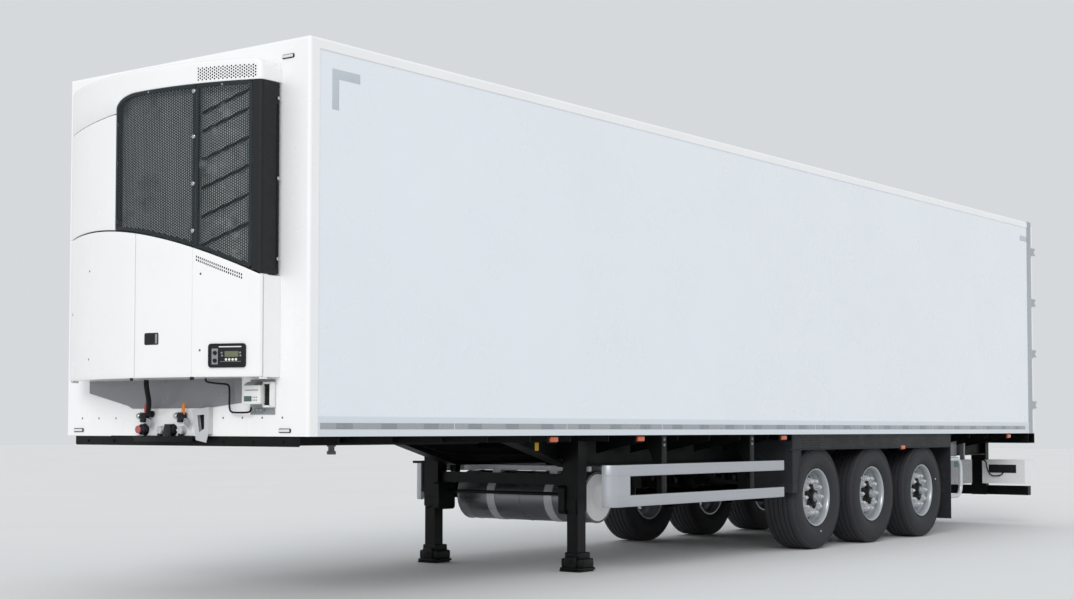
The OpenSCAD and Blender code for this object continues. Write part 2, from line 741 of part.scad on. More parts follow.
module rear_buffers() {
    color([0.05, 0.05, 0.05]) both()
        block(box_len - sill_back, box_len + rear_over, half_w - 240, half_w - 100,
            bed_z - sill_h + 4, bed_z - 4);
}

// Brake valve block under the floor, between two cross members, and the equipment box below it
valve_cross = round((mud_rear + 700 - cross_at(0)) / cross_pitch);
module valve_module() {
    d = cross_at(valve_cross);
    color([0.7, 0.71, 0.72]) {
        block(d + 90, d + 750, web_y + 130, web_y + 300, 560, 860);
        for (x = [150, cross_pitch + 70])
            block(d + x, d + x + 40, web_y + 190, web_y + 240, 860, bed_z);
    }
    color([0.12, 0.12, 0.13])
        block(d + 60, d + cross_pitch - 10, web_y + 120, web_y + 180, 900, bed_z);
}

// A bent tube behind the left flap, in front of the valve block
guard_tube_r = 24;
module valve_guard() {
    bend = 130;
    reach = 640;
    low = 430;
    high = 880;
    y = half_w - 200;
    color([0.7, 0.71, 0.72]) translate([at(mud_rear), y, 0]) {
        for (z = [low, high]) translate([bend - reach - 0.3, 0, z]) rotate([0, 90, 0])
            cylinder(r = guard_tube_r, h = reach - bend);
        translate([-reach - 0.3, 0, low + bend]) cylinder(r = guard_tube_r, h = high - low - 2 * bend);
        for (s = [0, 1]) translate([bend - reach - 0.3, 0, s == 0 ? low + bend : high - bend]) mirror([0,
            0, s])
            rotate([90, 0, 0]) rotate([0, 0, 180]) rotate_extrude(angle = 90) translate([bend, 0])
                circle(r = guard_tube_r);
    }
}

panel_y0 = -510;
panel_y1 = 150;
apron_t = 3;
// Coupling panel on the front wall, shelf under it, folded bracket beside it and the apron above it
module service_panel() {
    color([0.93, 0.93, 0.93]) on_wall(0, 4) polygon([[panel_y0, 2], [panel_y1, 2], [panel_y1 - 10, 200],
        [panel_y0 - 20, 200]]);
    color([0.1, 0.1, 0.1]) block(-70, 0, panel_y0, panel_y1, bed_z - 46, bed_z + 1.7);
    color([0.7, 0.7, 0.7]) on_wall(0, 5) difference() {
        polygon([[panel_y1 + 4, -60], [panel_y1 + 110, -66], [panel_y1 + 150, 199], [panel_y1 + 10, 199]]);
        polygon([[panel_y1 + 40, 40], [panel_y1 + 84, 40], [panel_y1 + 96, 160], [panel_y1 + 36, 160]]);
    }
    color([0.6, 0.6, 0.6]) on_wall(0, apron_t) polygon([[-unit_w / 2 + 6, unit_up - 0.5],
        [-unit_w / 2 + 8, 320], [-576, 223], [-519, 200.3], [300, 200.3], [649, 236], [649, unit_up - 0.5]]);
}

// A plate against the front wall, drawn in Y and in height above the box's underside
module on_wall(x0, x1) {
    translate([x_front + x0, 0, bed_z]) rotate([90, 0, 90]) linear_extrude(x1 - x0) children();
}

// Electric sockets in a row above the shelf, two air couplings with flap levers, and the hose's gland
socket_y = [-372, -172, -62, 53];
socket_r = [40, 28, 40, 28];
air_y = [-367, 43];
gland = [-290, 185];
module couplings() {
    color([0.15, 0.15, 0.15]) translate([x_front + 4, 0, bed_z]) {
        for (k = [0:3]) translate([0, socket_y[k], 53]) rotate([0, 90, 0]) {
            cylinder(r = socket_r[k], h = 52);
            cylinder(r = socket_r[k] + 8, h = 8);
        }
        for (y = air_y) translate([0, y, 0]) {
            translate([0, -12, 110]) cube([40, 24, 86]);
            translate([18, -30, 150]) rotate([0, 90, 0]) cylinder(r = 26, h = 44);
            translate([18, -42, 146]) cube([44, 60, 16]);
        }
        translate([0, gland[0], gland[1] - 24]) rotate([0, 90, 0]) cylinder(r = 24, h = 18);
    }
}

// Data logger on its back plate
module data_recorder() {
    color([0.6, 0.6, 0.6]) block(-6, 0, 741, 985, unit_z - 258, unit_z - 12);
    color([0.95, 0.95, 0.95]) block(-86, -6, 750, 924, unit_z - 206, unit_z - 40);
}

function unit(v) = v / norm(v);
// A smooth curve through the points p, steps pieces to each span
function span_point(a, b, c, d, t) = 0.5 * (2 * b + (c - a) * t + (2 * a - 5 * b + 4 * c - d) * t * t
    + (3 * b - a - 3 * c + d) * t * t * t);
function smooth(p, steps) = concat([for (i = [0:len(p) - 2], k = [0:steps - 1])
    span_point(p[max(i - 1, 0)], p[i], p[i + 1], p[min(i + 2, len(p) - 1)], k / steps)], [p[len(p) - 1]]);
module tube(path, r, sides) {
    last = len(path) - 1;
    points = [for (i = [0:last]) let (t = unit(path[min(i + 1, last)] - path[max(i - 1, 0)]),
        u = unit(cross(t, [0.9, 0.1, 0.2])), w = cross(t, u)) for (k = [0:sides - 1])
        path[i] + r * (cos(360 * k / sides) * u + sin(360 * k / sides) * w)];
    faces = concat([[for (k = [sides - 1:-1:0]) k]], [[for (k = [0:sides - 1]) last * sides + k]],
        [for (i = [0:last - 1], k = [0:sides - 1]) [i * sides + k, i * sides + (k + 1) % sides,
        (i + 1) * sides + (k + 1) % sides, (i + 1) * sides + k]]);
    polyhedron(points, [for (f = faces) reversed(f)]);
}

hose_route = [[170, -170, -4], [170, -170, -40], [162, -168, -92], [140, -180, -140], [112, -208, -184],
    [84, -246, -220], [60, -276, -242], [42, -289, -249], [23.3, -290, -249]];
cable_route = [[150, 440, -2], [146, 446, -24], [96, 490, -36], [46, 538, -42], [28, 550, -62],
    [26, 552, -130],
    [26, 552, -200], [32, 576, -236], [40, 640, -243], [44, 730, -243], [46, 776, -238], [46, 791, -222],
    [46, 792, -213], [46, 792, -206.3]];
function from_unit(route) = [for (p = route) [x_front + p[0], p[1], unit_z + p[2]]];
module front_lines() {
    color([0.04, 0.04, 0.04]) {
        tube(smooth(from_unit(hose_route), 4), 19, 12);
        tube(smooth(from_unit(cable_route), 4), 7, 8);
    }
}

// The unit's outline from above, shrunk by in
module unit_plan(in) {
    intersection() {
        translate([unit_axis, 0]) circle(r = unit_r - in, $fn = 200);
        translate([0, -(unit_w / 2 - in)]) square([unit_depth, unit_w - 2 * in]);
    }
}

module unit_shell(z0, z1) {
    translate([x_front, 0, z0]) linear_extrude(z1 - z0) difference() {
        unit_plan(0);
        unit_plan(shell_t);
    }
}

// Everything below the curved line that parts the doors from the panels above them
module below_doorline(drop) {
    translate([x_front - 1, door_rise_y, door_top - door_rise_r]) rotate([0, 90, 0])
        cylinder(r = door_rise_r - drop, h = unit_depth + 2, $fn = 200);
}

// Back plate, tray and fixed side panels, with the pins that the doors turn on
module reefer_frame() {
    color([0.85, 0.85, 0.85]) {
        block(-12, -0.3, -(unit_w / 2 - shell_t), unit_w / 2 - shell_t, unit_z, unit_top - 90);
        translate([x_front, 0, unit_z]) linear_extrude(12) unit_plan(shell_t + 6);
        difference() {
            both() block(-(unit_side_depth - 2 * unit_hinge_r - 6), -0.3, unit_w / 2 - shell_t, unit_w / 2,
                unit_z, door_top);
            doorline_cut();
        }
        for (s = [0, 1]) mirror([0, s, 0]) {
            top = unit_door_top(s == 0 ? unit_hinge_y : -unit_hinge_y);
            for (z = [unit_z - 14, top + 4]) translate([unit_hinge_x, unit_hinge_y, z]) {
                cylinder(r = unit_hinge_r - 2, h = 10);
                translate([-60, -8, 0]) cube([60, 16, 10]);
            }
            translate([unit_hinge_x - 60, unit_hinge_y - 8, unit_z - 14]) cube([40, 16, 20]);
            translate([unit_hinge_x, unit_hinge_y, unit_z - 5]) cylinder(r = unit_pin_r, h = 45);
            translate([unit_hinge_x, unit_hinge_y, top - 35]) cylinder(r = unit_pin_r, h = 40);
        }
    }
}

// Height of the doors' upper edge at a given place across the unit
function unit_door_top(y) = door_top - door_rise_r - 12
    + sqrt(pow(door_rise_r - seam, 2) - pow(y - door_rise_y, 2));

// Everything above the doors' curved upper edge
module doorline_cut() {
    difference() {
        translate([x_front - 10, -unit_w, unit_z + 300]) cube([unit_depth + 20, 2 * unit_w, unit_h]);
        below_doorline(seam);
    }
}

module reefer_condenser() {
    color([0.2, 0.21, 0.21])
        block(-200, -12, -unit_w / 2 + 120, unit_w / 2 - 120, door_top + 120, grille_top - 20);
}

module reefer_engine() {
    color([0.15, 0.15, 0.16]) block(-290, -12, -420, 420, unit_z + 20, unit_z + 560);
}

// The part of the unit to the left of y and below z
module unit_left_part(y, z) {
    translate([x_front - 1, y, 0]) cube([unit_depth + 2, unit_w, z]);
}

// The hood's body, shrunk by in: its front is turned about the unit's axis with a rounded top edge,
// and its upper side corners are rounded
hood_side_r = 66;
hood_edge_r = 26;
module hood_body(in) {
    side = unit_w / 2 - in;
    top = unit_top - in;
    r = unit_r - in;
    intersection() {
        translate([x_front + unit_axis, 0, 0]) rotate_extrude($fn = 200) {
            translate([0, cover_top - 5]) square([r - hood_edge_r, top - cover_top + 5]);
            translate([0, cover_top - 5]) square([r, top - hood_edge_r - cover_top + 5]);
            translate([r - hood_edge_r, top - hood_edge_r]) circle(r = hood_edge_r);
        }
        translate([x_front, 0, 0]) rotate([90, 0, 90]) linear_extrude(unit_depth + 1) {
            translate([-side, cover_top - 5]) square([2 * side, top - hood_side_r - cover_top + 5]);
            translate([-side + hood_side_r, cover_top - 5])
                square([2 * (side - hood_side_r), top - cover_top + 5]);
            for (y = [-1, 1]) translate([y * (side - hood_side_r),
                top - hood_side_r]) circle(r = hood_side_r);
        }
        translate([x_front, -unit_w, cover_top]) cube([unit_depth + 1, 2 * unit_w, unit_h]);
    }
}

module reefer_hood() {
    color([0.95, 0.95, 0.95]) difference() {
        hood_body(0);
        translate([-1, 0, -1]) hood_body(shell_t);
        unit_left_part(grille_side, grille_top);
    }
}

module reefer_side_cover() {
    color([0.95, 0.95, 0.95]) difference() {
        unit_shell(unit_z, cover_top - seam);
        below_doorline(0);
        unit_left_part(grille_side, unit_top + 1);
    }
}

module reefer_grille() {
    color([0.2, 0.22, 0.22]) intersection() {
        difference() {
            unit_shell(unit_z, grille_top - seam);
            below_doorline(0);
        }
        unit_left_part(grille_side + seam, unit_top);
    }
}

// The door over one half of the unit's lower front, bored for its hinge pins; s is 1 on the left
module reefer_door(s) {
    color([0.95, 0.95, 0.95]) difference() {
        union() {
            intersection() {
                unit_shell(unit_z, door_top);
                below_doorline(seam);
                translate([unit_hinge_x - 2, s > 0 ? seam / 2 : -unit_hinge_y, unit_z - 1])
                    cube([unit_depth, unit_hinge_y - seam / 2, unit_h]);
            }
            translate([unit_hinge_x, s * unit_hinge_y, unit_z])
                cylinder(r = unit_hinge_r, h = unit_door_top(s * unit_hinge_y) - unit_z);
        }
        translate([unit_hinge_x, s * unit_hinge_y, unit_z - 1]) cylinder(r = unit_pin_r + running_play,
            h = 42);
        translate([unit_hinge_x, s * unit_hinge_y, unit_door_top(s * unit_hinge_y) - 36])
            cylinder(r = unit_pin_r + running_play, h = 60);
        translate([unit_hinge_x - 20, s > 0 ? unit_hinge_y - 26 : -unit_hinge_y - 16,
            unit_door_top(s * unit_hinge_y)]) cube([60, 42, 60]);
    }
}

module reefer_door_left() { reefer_door(1); }
module reefer_door_right() { reefer_door(-1); }

// A door leaf with the moving halves of its hinges
module rear_door() {
    color([0.93, 0.94, 0.95]) {
        block(box_len - door_t, box_len, door_gap / 2, half_w - door_edge, door_z0, door_z1);
        for (i = [0:hinge_count - 1]) moving_hinge(hinge_z(i));
    }
}

module moving_hinge(z) {
    translate([at(box_len + hinge_back), hinge_y, z - hinge_knuckle / 2]) difference() {
        union() {
            cylinder(r = knuckle_r, h = hinge_knuckle);
            translate([0, -knuckle_r, 0]) cube([hinge_back, 9, hinge_knuckle]);
            translate([hinge_back - 10, -130, 0]) cube([10, 121, hinge_knuckle]);
        }
        translate([0, 0, -1]) cylinder(r = hinge_pin_r + running_play, h = hinge_knuckle + 2);
    }
}

module rear_door_left() { rear_door(); }
module rear_door_right() { mirror([0, 1, 0]) rear_door(); }

lock_handle = 410;
// Lock rods with their guides and handles
module door_locks() {
    color([0.6, 0.6, 0.62]) for (k = [0, 1]) translate([at(box_len + lock_off), lock_rods[k], 0]) {
        translate([0, 0, bed_z + 6]) cylinder(r = lock_rod_r, h = box_h - 12);
        for (s = [0.06, 0.35, 0.65, 0.94]) translate([-lock_rod_r - 2, -30, door_z0 + s * door_h - 20])
            cube([lock_off + lock_rod_r + 2, 60, 40]);
        translate([-8, k == 0 ? 0 : -lock_handle, door_z0 + 300 + 130 * k]) cube([14, lock_handle, 32]);
    }
}

module door_locks_left() { door_locks(); }
module door_locks_right() { mirror([0, 1, 0]) door_locks(); }

rim_half = 150;
lip_h = 12;
// One wheel's tyre, with its middle plane at the origin and its axis along Y: a hollow casing on the rim
module tyre() {
    bead = rim_half - 0.3;
    side = tyre_w / 2;
    r0 = rim_r + 0.3;
    deep = tyre_r - rim_r;
    outer = [[r0, bead], [r0 + lip_h + 2, bead], [r0 + 0.12 * deep, bead + 18], [r0 + 0.24 * deep, side - 8],
        [r0 + 0.38 * deep, side], [r0 + 0.5 * deep, side - 1], [r0 + 0.68 * deep, side - 8],
        [r0 + 0.83 * deep, side - 14], [tyre_r - 22, side - 20], [tyre_r - 9, side - 30],
        [tyre_r - 3, side - 46],
        [tyre_r, side - 92]];
    inner = [[r0, bead - 28], [r0 + 0.2 * deep, side - 34], [r0 + 0.4 * deep, side - 20],
        [r0 + 0.62 * deep, side - 26], [tyre_r - 44, side - 58], [tyre_r - 32, side - 92]];
    color([0.05, 0.05, 0.05]) rotate([-90, 0, 0]) rotate_extrude($fn = 128)
        polygon(concat(outer, [for (p = reversed(outer)) [p[0], -p[1]]], [for (p = inner) [p[0], -p[1]]],
            reversed(inner)));
}

disc_y = 96;
nut_ring = 167.5;
nut_count = 10;
hub_r = 92;
// Rim with its lips and dished disc, hand holes and wheel nuts, and the hub that turns with it
module rim() {
    color([0.75, 0.76, 0.78]) {
        difference() {
            rotate([-90, 0, 0]) rotate_extrude($fn = 96) polygon([[rim_r + lip_h, rim_half + 10],
                [rim_r + lip_h, rim_half],
                [rim_r, rim_half], [rim_r, 70], [rim_r - 26, 40], [rim_r - 26, -60], [rim_r, -90],
                [rim_r, -rim_half],
                [rim_r + lip_h, -rim_half], [rim_r + lip_h, -rim_half - 10], [rim_r - 8, -rim_half - 10],
                [rim_r - 10, -90], [rim_r - 38, -58], [rim_r - 38, 30], [rim_r - 62, 74],
                [hub_r + 110, disc_y - 16],
                [hub_r + 0.3, disc_y - 16], [hub_r + 0.3, disc_y], [hub_r + 104, disc_y],
                [rim_r - 50, disc_y - 8],
                [rim_r - 14, 60], [rim_r - 8, rim_half + 10]]);
            for (k = [0:nut_count - 1]) rotate([0, 18 + 360 * k / nut_count, 0])
                translate([hub_r + 122, 0, 0]) cyl_y(19, 20, rim_half);
        }
        for (k = [0:nut_count - 1]) rotate([0, 360 * k / nut_count, 0]) translate([nut_ring, disc_y, 0]) {
            cyl_y(21, -4, 8);
            rotate([-90, 0, 0]) cylinder(r = 18.5, h = 34, $fn = 6);
            cyl_y(11, 0, 46);
        }
        rotate([-90, 0, 0]) rotate_extrude($fn = 96) polygon([[spindle_r + running_play, -60],
            [spindle_r + running_play, 134], [0, 134], [0, rim_half + 18], [44, rim_half + 18],
            [50, rim_half + 8],
            [hub_r - 20, rim_half - 4], [hub_r, disc_y + 22], [hub_r, disc_y - 16.3],
            [hub_r + 60, disc_y - 16.3],
            [hub_r + 60, disc_y - 30], [110, 60], [110, -60]]);
    }
}

module wheel_place(i, side) {
    translate([axle_at(i - 1), side * wheel_y, axle_z]) rotate([0, 0, side > 0 ? 0 : 180]) children();
}

floor();
side_wall_left();
side_wall_right();
front_wall();
roof();
base_rails();
edge_rails();
rear_frame();
evaporator();
main_beams();
cross_members();
coupling_plate();
kingpin();
landing_legs();
landing_shaft();
fuel_tank();
tank_straps();
side_guards();
mudguards();
suspension_hangers();
trailing_arms();
air_springs();
shock_absorbers();
axles();
air_tanks();
underrun_bumper();
rear_sill();
lamp_carriers();
rear_buffers();
valve_module();
valve_guard();
service_panel();
couplings();
data_recorder();
front_lines();
reefer_frame();
reefer_condenser();
reefer_engine();
reefer_hood();
reefer_side_cover();
reefer_grille();
rear_door_left();
rear_door_right();
door_locks_left();
door_locks_right();
reefer_door_left();
reefer_door_right();
for (i = [1:3], side = [[1, "left"], [-1, "right"]]) {
    wheel_place(i, side[0]) tyre();
    wheel_place(i, side[0]) rim();
}
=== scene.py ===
import math

import bpy
import numpy as np
from mathutils import Matrix, Vector


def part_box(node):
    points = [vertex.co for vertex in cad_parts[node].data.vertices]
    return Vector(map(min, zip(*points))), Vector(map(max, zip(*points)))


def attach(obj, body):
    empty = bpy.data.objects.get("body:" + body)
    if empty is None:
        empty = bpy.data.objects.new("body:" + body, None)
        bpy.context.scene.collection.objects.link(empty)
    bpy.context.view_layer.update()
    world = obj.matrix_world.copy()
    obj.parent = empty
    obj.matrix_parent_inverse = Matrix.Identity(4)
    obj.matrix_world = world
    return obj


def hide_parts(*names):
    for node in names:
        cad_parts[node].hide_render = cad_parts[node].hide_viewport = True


bl_info = {
    "name": "Refrigerated semi trailer",
    "version": (1, 0, 0),
    "blender": (4, 5, 0),
    "location": "3D View > Sidebar > Trailer",
    "description": "Dresses the packed trailer with its skins, fittings, wheels and finishes",
    "category": "Add Mesh",
}

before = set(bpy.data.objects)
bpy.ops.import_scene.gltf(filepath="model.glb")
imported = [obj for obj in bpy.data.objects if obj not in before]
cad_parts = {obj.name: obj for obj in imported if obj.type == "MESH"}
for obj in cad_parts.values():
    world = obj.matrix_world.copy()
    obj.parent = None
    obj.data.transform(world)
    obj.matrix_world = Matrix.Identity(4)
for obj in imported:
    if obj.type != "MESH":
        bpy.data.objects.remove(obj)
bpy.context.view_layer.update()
MM = 0.001


def low(name):
    """Lowest corner of a CAD node"""
    return np.array(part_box(name)[0])


def high(name):
    """Highest corner of a CAD node"""
    return np.array(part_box(name)[1])


# Places that the CAD nodes give
FRONT = float(high("front_wall")[0])
BED = float(low("base_rails")[2])
HALF = float(high("base_rails")[1])
UNIT_LOW = float(low("reefer_door_left")[2])
UNIT_TOP = float(high("reefer_hood")[2])
UNIT_HALF = float(high("reefer_hood")[1])
UNIT_DEPTH = float(high("reefer_hood")[0]) - FRONT
GRILLE_SIDE = float(low("reefer_grille")[1]) - 8 * MM
GRILLE_TOP = float(high("reefer_grille")[2]) + 8 * MM
# An edge between two faces that meet at more than this many degrees stays sharp
SHARP = 38


def mm(values):
    """Lengths in millimetres as an array of metres"""
    return np.array(values, float) * MM


def at(d):
    """X of a place d metres behind the box's front face"""
    return FRONT - d


# ---------------------------------------------------------------- surfaces

def welded(points, faces):
    """Points that share a place become one, and faces lose the corners that this doubles"""
    keys = np.round(points / 2e-6).astype(np.int64)
    _, first, back = np.unique(keys, axis=0, return_index=True, return_inverse=True)
    back = back.reshape(-1)
    out = []
    for f in faces:
        f = back[f]
        if f.shape[1] != 4:
            out.append(f)
            continue
        same = f == np.roll(f, -1, axis=1)
        count = same.sum(1)
        out.append(f[count == 0])
        for k in range(4):
            hit = f[(count == 1) & same[:, k]]
            out.append(np.delete(hit, k, axis=1))
    return points[first], [f for f in out if len(f)]


def outward(points, faces):
    """Faces turned so that the volume they close is positive"""
    volume = 0.0
    for f in faces:
        a = points[f[:, 0]]
        for k in range(1, f.shape[1] - 1):
            volume += np.einsum("ij,ij->i", a, np.cross(points[f[:, k]], points[f[:, k + 1]])).sum()
    return (points, [f[:, ::-1] for f in faces]) if volume < 0 else (points, faces)


def lattice(grid, wrap_u=False, wrap_v=False, caps=()):
    """A closed surface through a grid of points: neighbours in u and v make the faces, wrap joins the
    last row to the first, and a cap closes the first or last v row with one face"""
    nu, nv = grid.shape[:2]
    index = np.arange(nu * nv).reshape(nu, nv)
    a = np.vstack([index, index[:1]]) if wrap_u else index
    a = np.hstack([a, a[:, :1]]) if wrap_v else a
    faces = [np.stack([a[:-1, :-1], a[1:, :-1], a[1:, 1:], a[:-1, 1:]], -1).reshape(-1, 4)]
    for k in caps:
        ring = index[:, k]
        faces.append((ring[::-1] if k == 0 else ring)[None, :])
    return outward(*welded(grid.reshape(-1, 3), faces))


def thick(outer, inner, keep=None):
    """A wall between two grids: the outer faces where keep is true, the inner ones turned round, and a
    strip wherever a kept cell has no kept neighbour, so windows and edges are closed"""
    nu, nv = outer.shape[:2]
    keep = np.ones((nu - 1, nv - 1), bool) if keep is None else keep
    a = np.arange(nu * nv).reshape(nu, nv)
    b = a + nu * nv
    quads = np.stack([a[:-1, :-1], a[1:, :-1], a[1:, 1:], a[:-1, 1:]], -1)
    faces = [quads[keep], quads[keep][:, ::-1] + nu * nv]
    side = np.pad(keep, ((1, 1), (0, 0)))
    for here, there, flip in ((side[1:], side[:-1], True), (side[:-1], side[1:], False)):
        i, j = np.nonzero(here & ~there)
        f = np.stack([a[i, j], a[i, j + 1], b[i, j + 1], b[i, j]], -1)
        faces.append(f if flip else f[:, ::-1])
    side = np.pad(keep, ((0, 0), (1, 1)))
    for here, there, flip in ((side[:, 1:], side[:, :-1], False), (side[:, :-1], side[:, 1:], True)):
        i, j = np.nonzero(here & ~there)
        f = np.stack([a[i, j], a[i + 1, j], b[i + 1, j], b[i, j]], -1)
        faces.append(f if flip else f[:, ::-1])
    points = np.concatenate([outer.reshape(-1, 3), inner.reshape(-1, 3)])
    return outward(*welded(points, faces))


def sheeted(front, back, faces):
    """A wall between two like-numbered sets of points: the faces in front, the same turned round behind,
    and a strip along each edge that only one face has"""
    both, faces = welded(np.hstack([front, back]), faces)
    edges = np.concatenate([np.stack([f, np.roll(f, -1, axis=1)], -1).reshape(-1, 2) for f in faces])
    m = len(both)
    single = edges[~np.isin(edges[:, 0] * m + edges[:, 1], edges[:, 1] * m + edges[:, 0])]
    walls = np.stack([single[:, 1], single[:, 0], single[:, 0] + m, single[:, 1] + m], -1)
    rear = [f[:, ::-1] + m for f in faces]
    return outward(np.concatenate([both[:, :3], both[:, 3:]]), faces + rear + [walls])


def joined(parts):
    """Several closed surfaces as one mesh"""
    points, faces, count = [], [], 0
    for p, fs in parts:
        points.append(p)
        faces += [f + count for f in fs]
        count += len(p)
    return np.concatenate(points), faces


def moved(part, origin=(0, 0, 0), x=(1, 0, 0), y=(0, 1, 0), z=(0, 0, 1)):
    """A surface drawn about the origin, set with its axes along x, y and z at a place"""
    points, faces = part
    return outward(points @ np.array([x, y, z], float) + np.array(origin, float), faces)


def mirrored(part):
    """The same surface on the other side of the trailer"""
    return outward(part[0] * np.array([1, -1, 1]), part[1])


def both_sides(parts):
    """The surfaces of the left side together with their mirror images on the right"""
    left = joined(parts)
    return joined([left, mirrored(left)])


def spline(points, steps):
    """A smooth curve through the points: on each span the cubic that meets its neighbours' slopes"""
    p = np.asarray(points, float)
    p = np.vstack([2 * p[0] - p[1], p, 2 * p[-1] - p[-2]])
    t = np.linspace(0, 1, steps, endpoint=False)[:, None]
    a, b, c, d = p[:-3, None], p[1:-2, None], p[2:-1, None], p[3:, None]
    curve = 0.5 * (2 * b + (c - a) * t + (2 * a - 5 * b + 4 * c - d) * t**2 + (3 * b - a - 3 * c + d) * t**3)
    return np.vstack([curve.reshape(-1, p.shape[1]), p[-2]])


def swept(section, path, up=(0, 0, 1)):
    """A closed section carried along a path: each ring stands square to the path's direction"""
    path = np.asarray(path, float)
    along = np.gradient(path, axis=0)
    along /= np.linalg.norm(along, axis=1)[:, None]
    side = np.cross(along, np.array(up, float))
    side /= np.linalg.norm(side, axis=1)[:, None]
    top = np.cross(side, along)
    section = np.asarray(section, float)
    grid = path[None] + section[:, 0, None, None] * side[None] + section[:, 1, None, None] * top[None]
    return lattice(grid, wrap_u=True, caps=(0, -1))


def circle(r, n=16):
    """A circle of n points about the origin"""
    a = np.arange(n) * 2 * np.pi / n
    return np.stack([r * np.cos(a), r * np.sin(a)], 1)


def round_rect(w, h, r, k=4):
    """A rectangle about the origin whose corners are arcs of radius r"""
    a = np.concatenate([np.linspace(q, q + 90, k + 1) for q in (0, 90, 180, 270)]) * np.pi / 180
    sx = np.repeat([1, -1, -1, 1], k + 1) * (w / 2 - r)
    sy = np.repeat([1, 1, -1, -1], k + 1) * (h / 2 - r)
    return np.stack([sx + r * np.cos(a), sy + r * np.sin(a)], 1)


def shrunk(outline, e):
    """An outline moved inwards by e along the bisector of each corner"""
    before = outline - np.roll(outline, 1, 0)
    after = np.roll(outline, -1, 0) - outline
    n1 = np.stack([-before[:, 1], before[:, 0]], 1)
    n2 = np.stack([-after[:, 1], after[:, 0]], 1)
    n1 /= np.maximum(np.linalg.norm(n1, axis=1), 1e-9)[:, None]
    n2 /= np.maximum(np.linalg.norm(n2, axis=1), 1e-9)[:, None]
    n = n1 + n2
    return outline + e * 2 * n / np.maximum((n * n).sum(1), 0.4)[:, None]


def stacked(rings, closed=False):
    """A surface through like-numbered outlines, each at its own height: closed joins the last one to the
    first, and otherwise the first and the last are capped"""
    grid = np.stack([np.column_stack([o, np.full(len(o), z)]) for o, z in rings], 1)
    return lattice(grid, wrap_u=True, wrap_v=closed, caps=() if closed else (0, -1))


def slab(outline, z0, z1, r=2 * MM, k=3, both=True):
    """An outline raised from z0 to z1, its top edge, and its lower one if both, rounded by radius r"""
    a = np.linspace(0, np.pi / 2, k + 1)
    inset = r * (1 - np.cos(a))
    rise = r * (1 - np.sin(a))
    rings = [(shrunk(outline, i), z1 - u) for i, u in zip(inset[::-1], rise[::-1])]
    rings += [(shrunk(outline, i), z0 + u) for i, u in zip(inset, rise)] if both else [(outline, z0)]
    return stacked(rings)


def turned(profile, n=48, closed=False):
    """A profile of radius and height turned about Z: a point on the axis closes the form, and closed
    joins the last point to the first"""
    profile = np.asarray(profile, float)
    a = np.arange(n) * 2 * np.pi / n
    grid = np.stack([np.outer(np.cos(a), profile[:, 0]), np.outer(np.sin(a), profile[:, 0]),
                     np.tile(profile[:, 1], (n, 1))], -1)
    return lattice(grid, wrap_u=True, wrap_v=closed)


def box(lo, hi, r=2 * MM):
    """A block with rounded edges between two opposite corners"""
    lo, hi = np.sort(np.array([lo, hi], float), axis=0)
    size = hi - lo
    r = min(r, 0.45 * size.min())
    part = slab(round_rect(size[0], size[1], r), lo[2], hi[2], r)
    return moved(part, ((lo[0] + hi[0]) / 2, (lo[1] + hi[1]) / 2, 0))


def bolt(r, h):
    """A hexagon head on a washer, with its axis along Z"""
    return joined([turned([[0, 0], [1.5 * r, 0], [1.5 * r, 0.2 * h], [0, 0.2 * h]], 16),
                   slab(circle(r, 6), 0.1 * h, h, 0.12 * r, 2, False)])


# Axes for a surface drawn about Z: which way its own z looks on the trailer
ALONG_X = dict(x=(0, 1, 0), y=(0, 0, 1), z=(1, 0, 0))
ALONG_Y = dict(x=(-1, 0, 0), y=(0, 0, 1), z=(0, 1, 0))
INWARDS = dict(x=(1, 0, 0), y=(0, 0, 1), z=(0, -1, 0))
BACKWARDS = dict(x=(0, 1, 0), y=(0, 0, 1), z=(-1, 0, 0))


def bolts_at(places, r, h, axes=ALONG_X):
    """A bolt's head at each place, r in radius and h high in millimetres, with its axis along axes"""
    return [moved(bolt(r * MM, h * MM), place, **axes) for place in places]


def put(name, part, finish, body="trailer", stands_for=()):
    """Makes the object of a surface, with its place in its mesh, and lets it ride on a body"""
    points, faces = part
    mesh = bpy.data.meshes.new(name)
    loops = np.concatenate([f.ravel() for f in faces]).astype(np.int32)
    sizes = np.concatenate([np.full(len(f), f.shape[1]) for f in faces])
    mesh.vertices.add(len(points))
    mesh.loops.add(len(loops))
    mesh.polygons.add(len(sizes))
    mesh.vertices.foreach_set("co", points.astype(np.float32).ravel())
    mesh.loops.foreach_set("vertex_index", loops)
    starts = np.concatenate([[0], np.cumsum(sizes)[:-1]])
    mesh.polygons.foreach_set("loop_start", starts.astype(np.int32))
    mesh.update(calc_edges=True)
    mesh.validate()
    mesh.polygons.foreach_set("use_smooth", np.ones(len(mesh.polygons), bool))
    mesh.set_sharp_from_angle(angle=math.radians(SHARP))
    mesh.materials.append(finish)
    thing = bpy.data.objects.new(name, mesh)
    bpy.context.scene.collection.objects.link(thing)
    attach(thing, body)
    if stands_for:
        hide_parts(*stands_for)


# --------------------------------------------------------------- finishes

def linear(hex_colour):
    """An sRGB hex colour as linear red, green, blue and alpha; a colour that is linear already is kept"""
    if not isinstance(hex_colour, str):
        return (*hex_colour, 1.0)
    s = np.array([int(hex_colour[i:i + 2], 16) for i in (1, 3, 5)]) / 255
    lin = np.where(s <= 0.04045, s / 12.92, ((s + 0.055) / 1.055) ** 2.4)
    return (*lin.tolist(), 1.0)


def add(tree, kind, inputs=(), **settings):
    """Adds a node, gives it its settings, and sets or links its inputs"""
    made = tree.nodes.new(kind)
    for key, value in settings.items():
        setattr(made, key, value)
    for key, value in dict(inputs).items():
        if isinstance(value, bpy.types.NodeSocket):
            tree.links.new(value, made.inputs[key])
        else:
            made.inputs[key].default_value = value
    return made


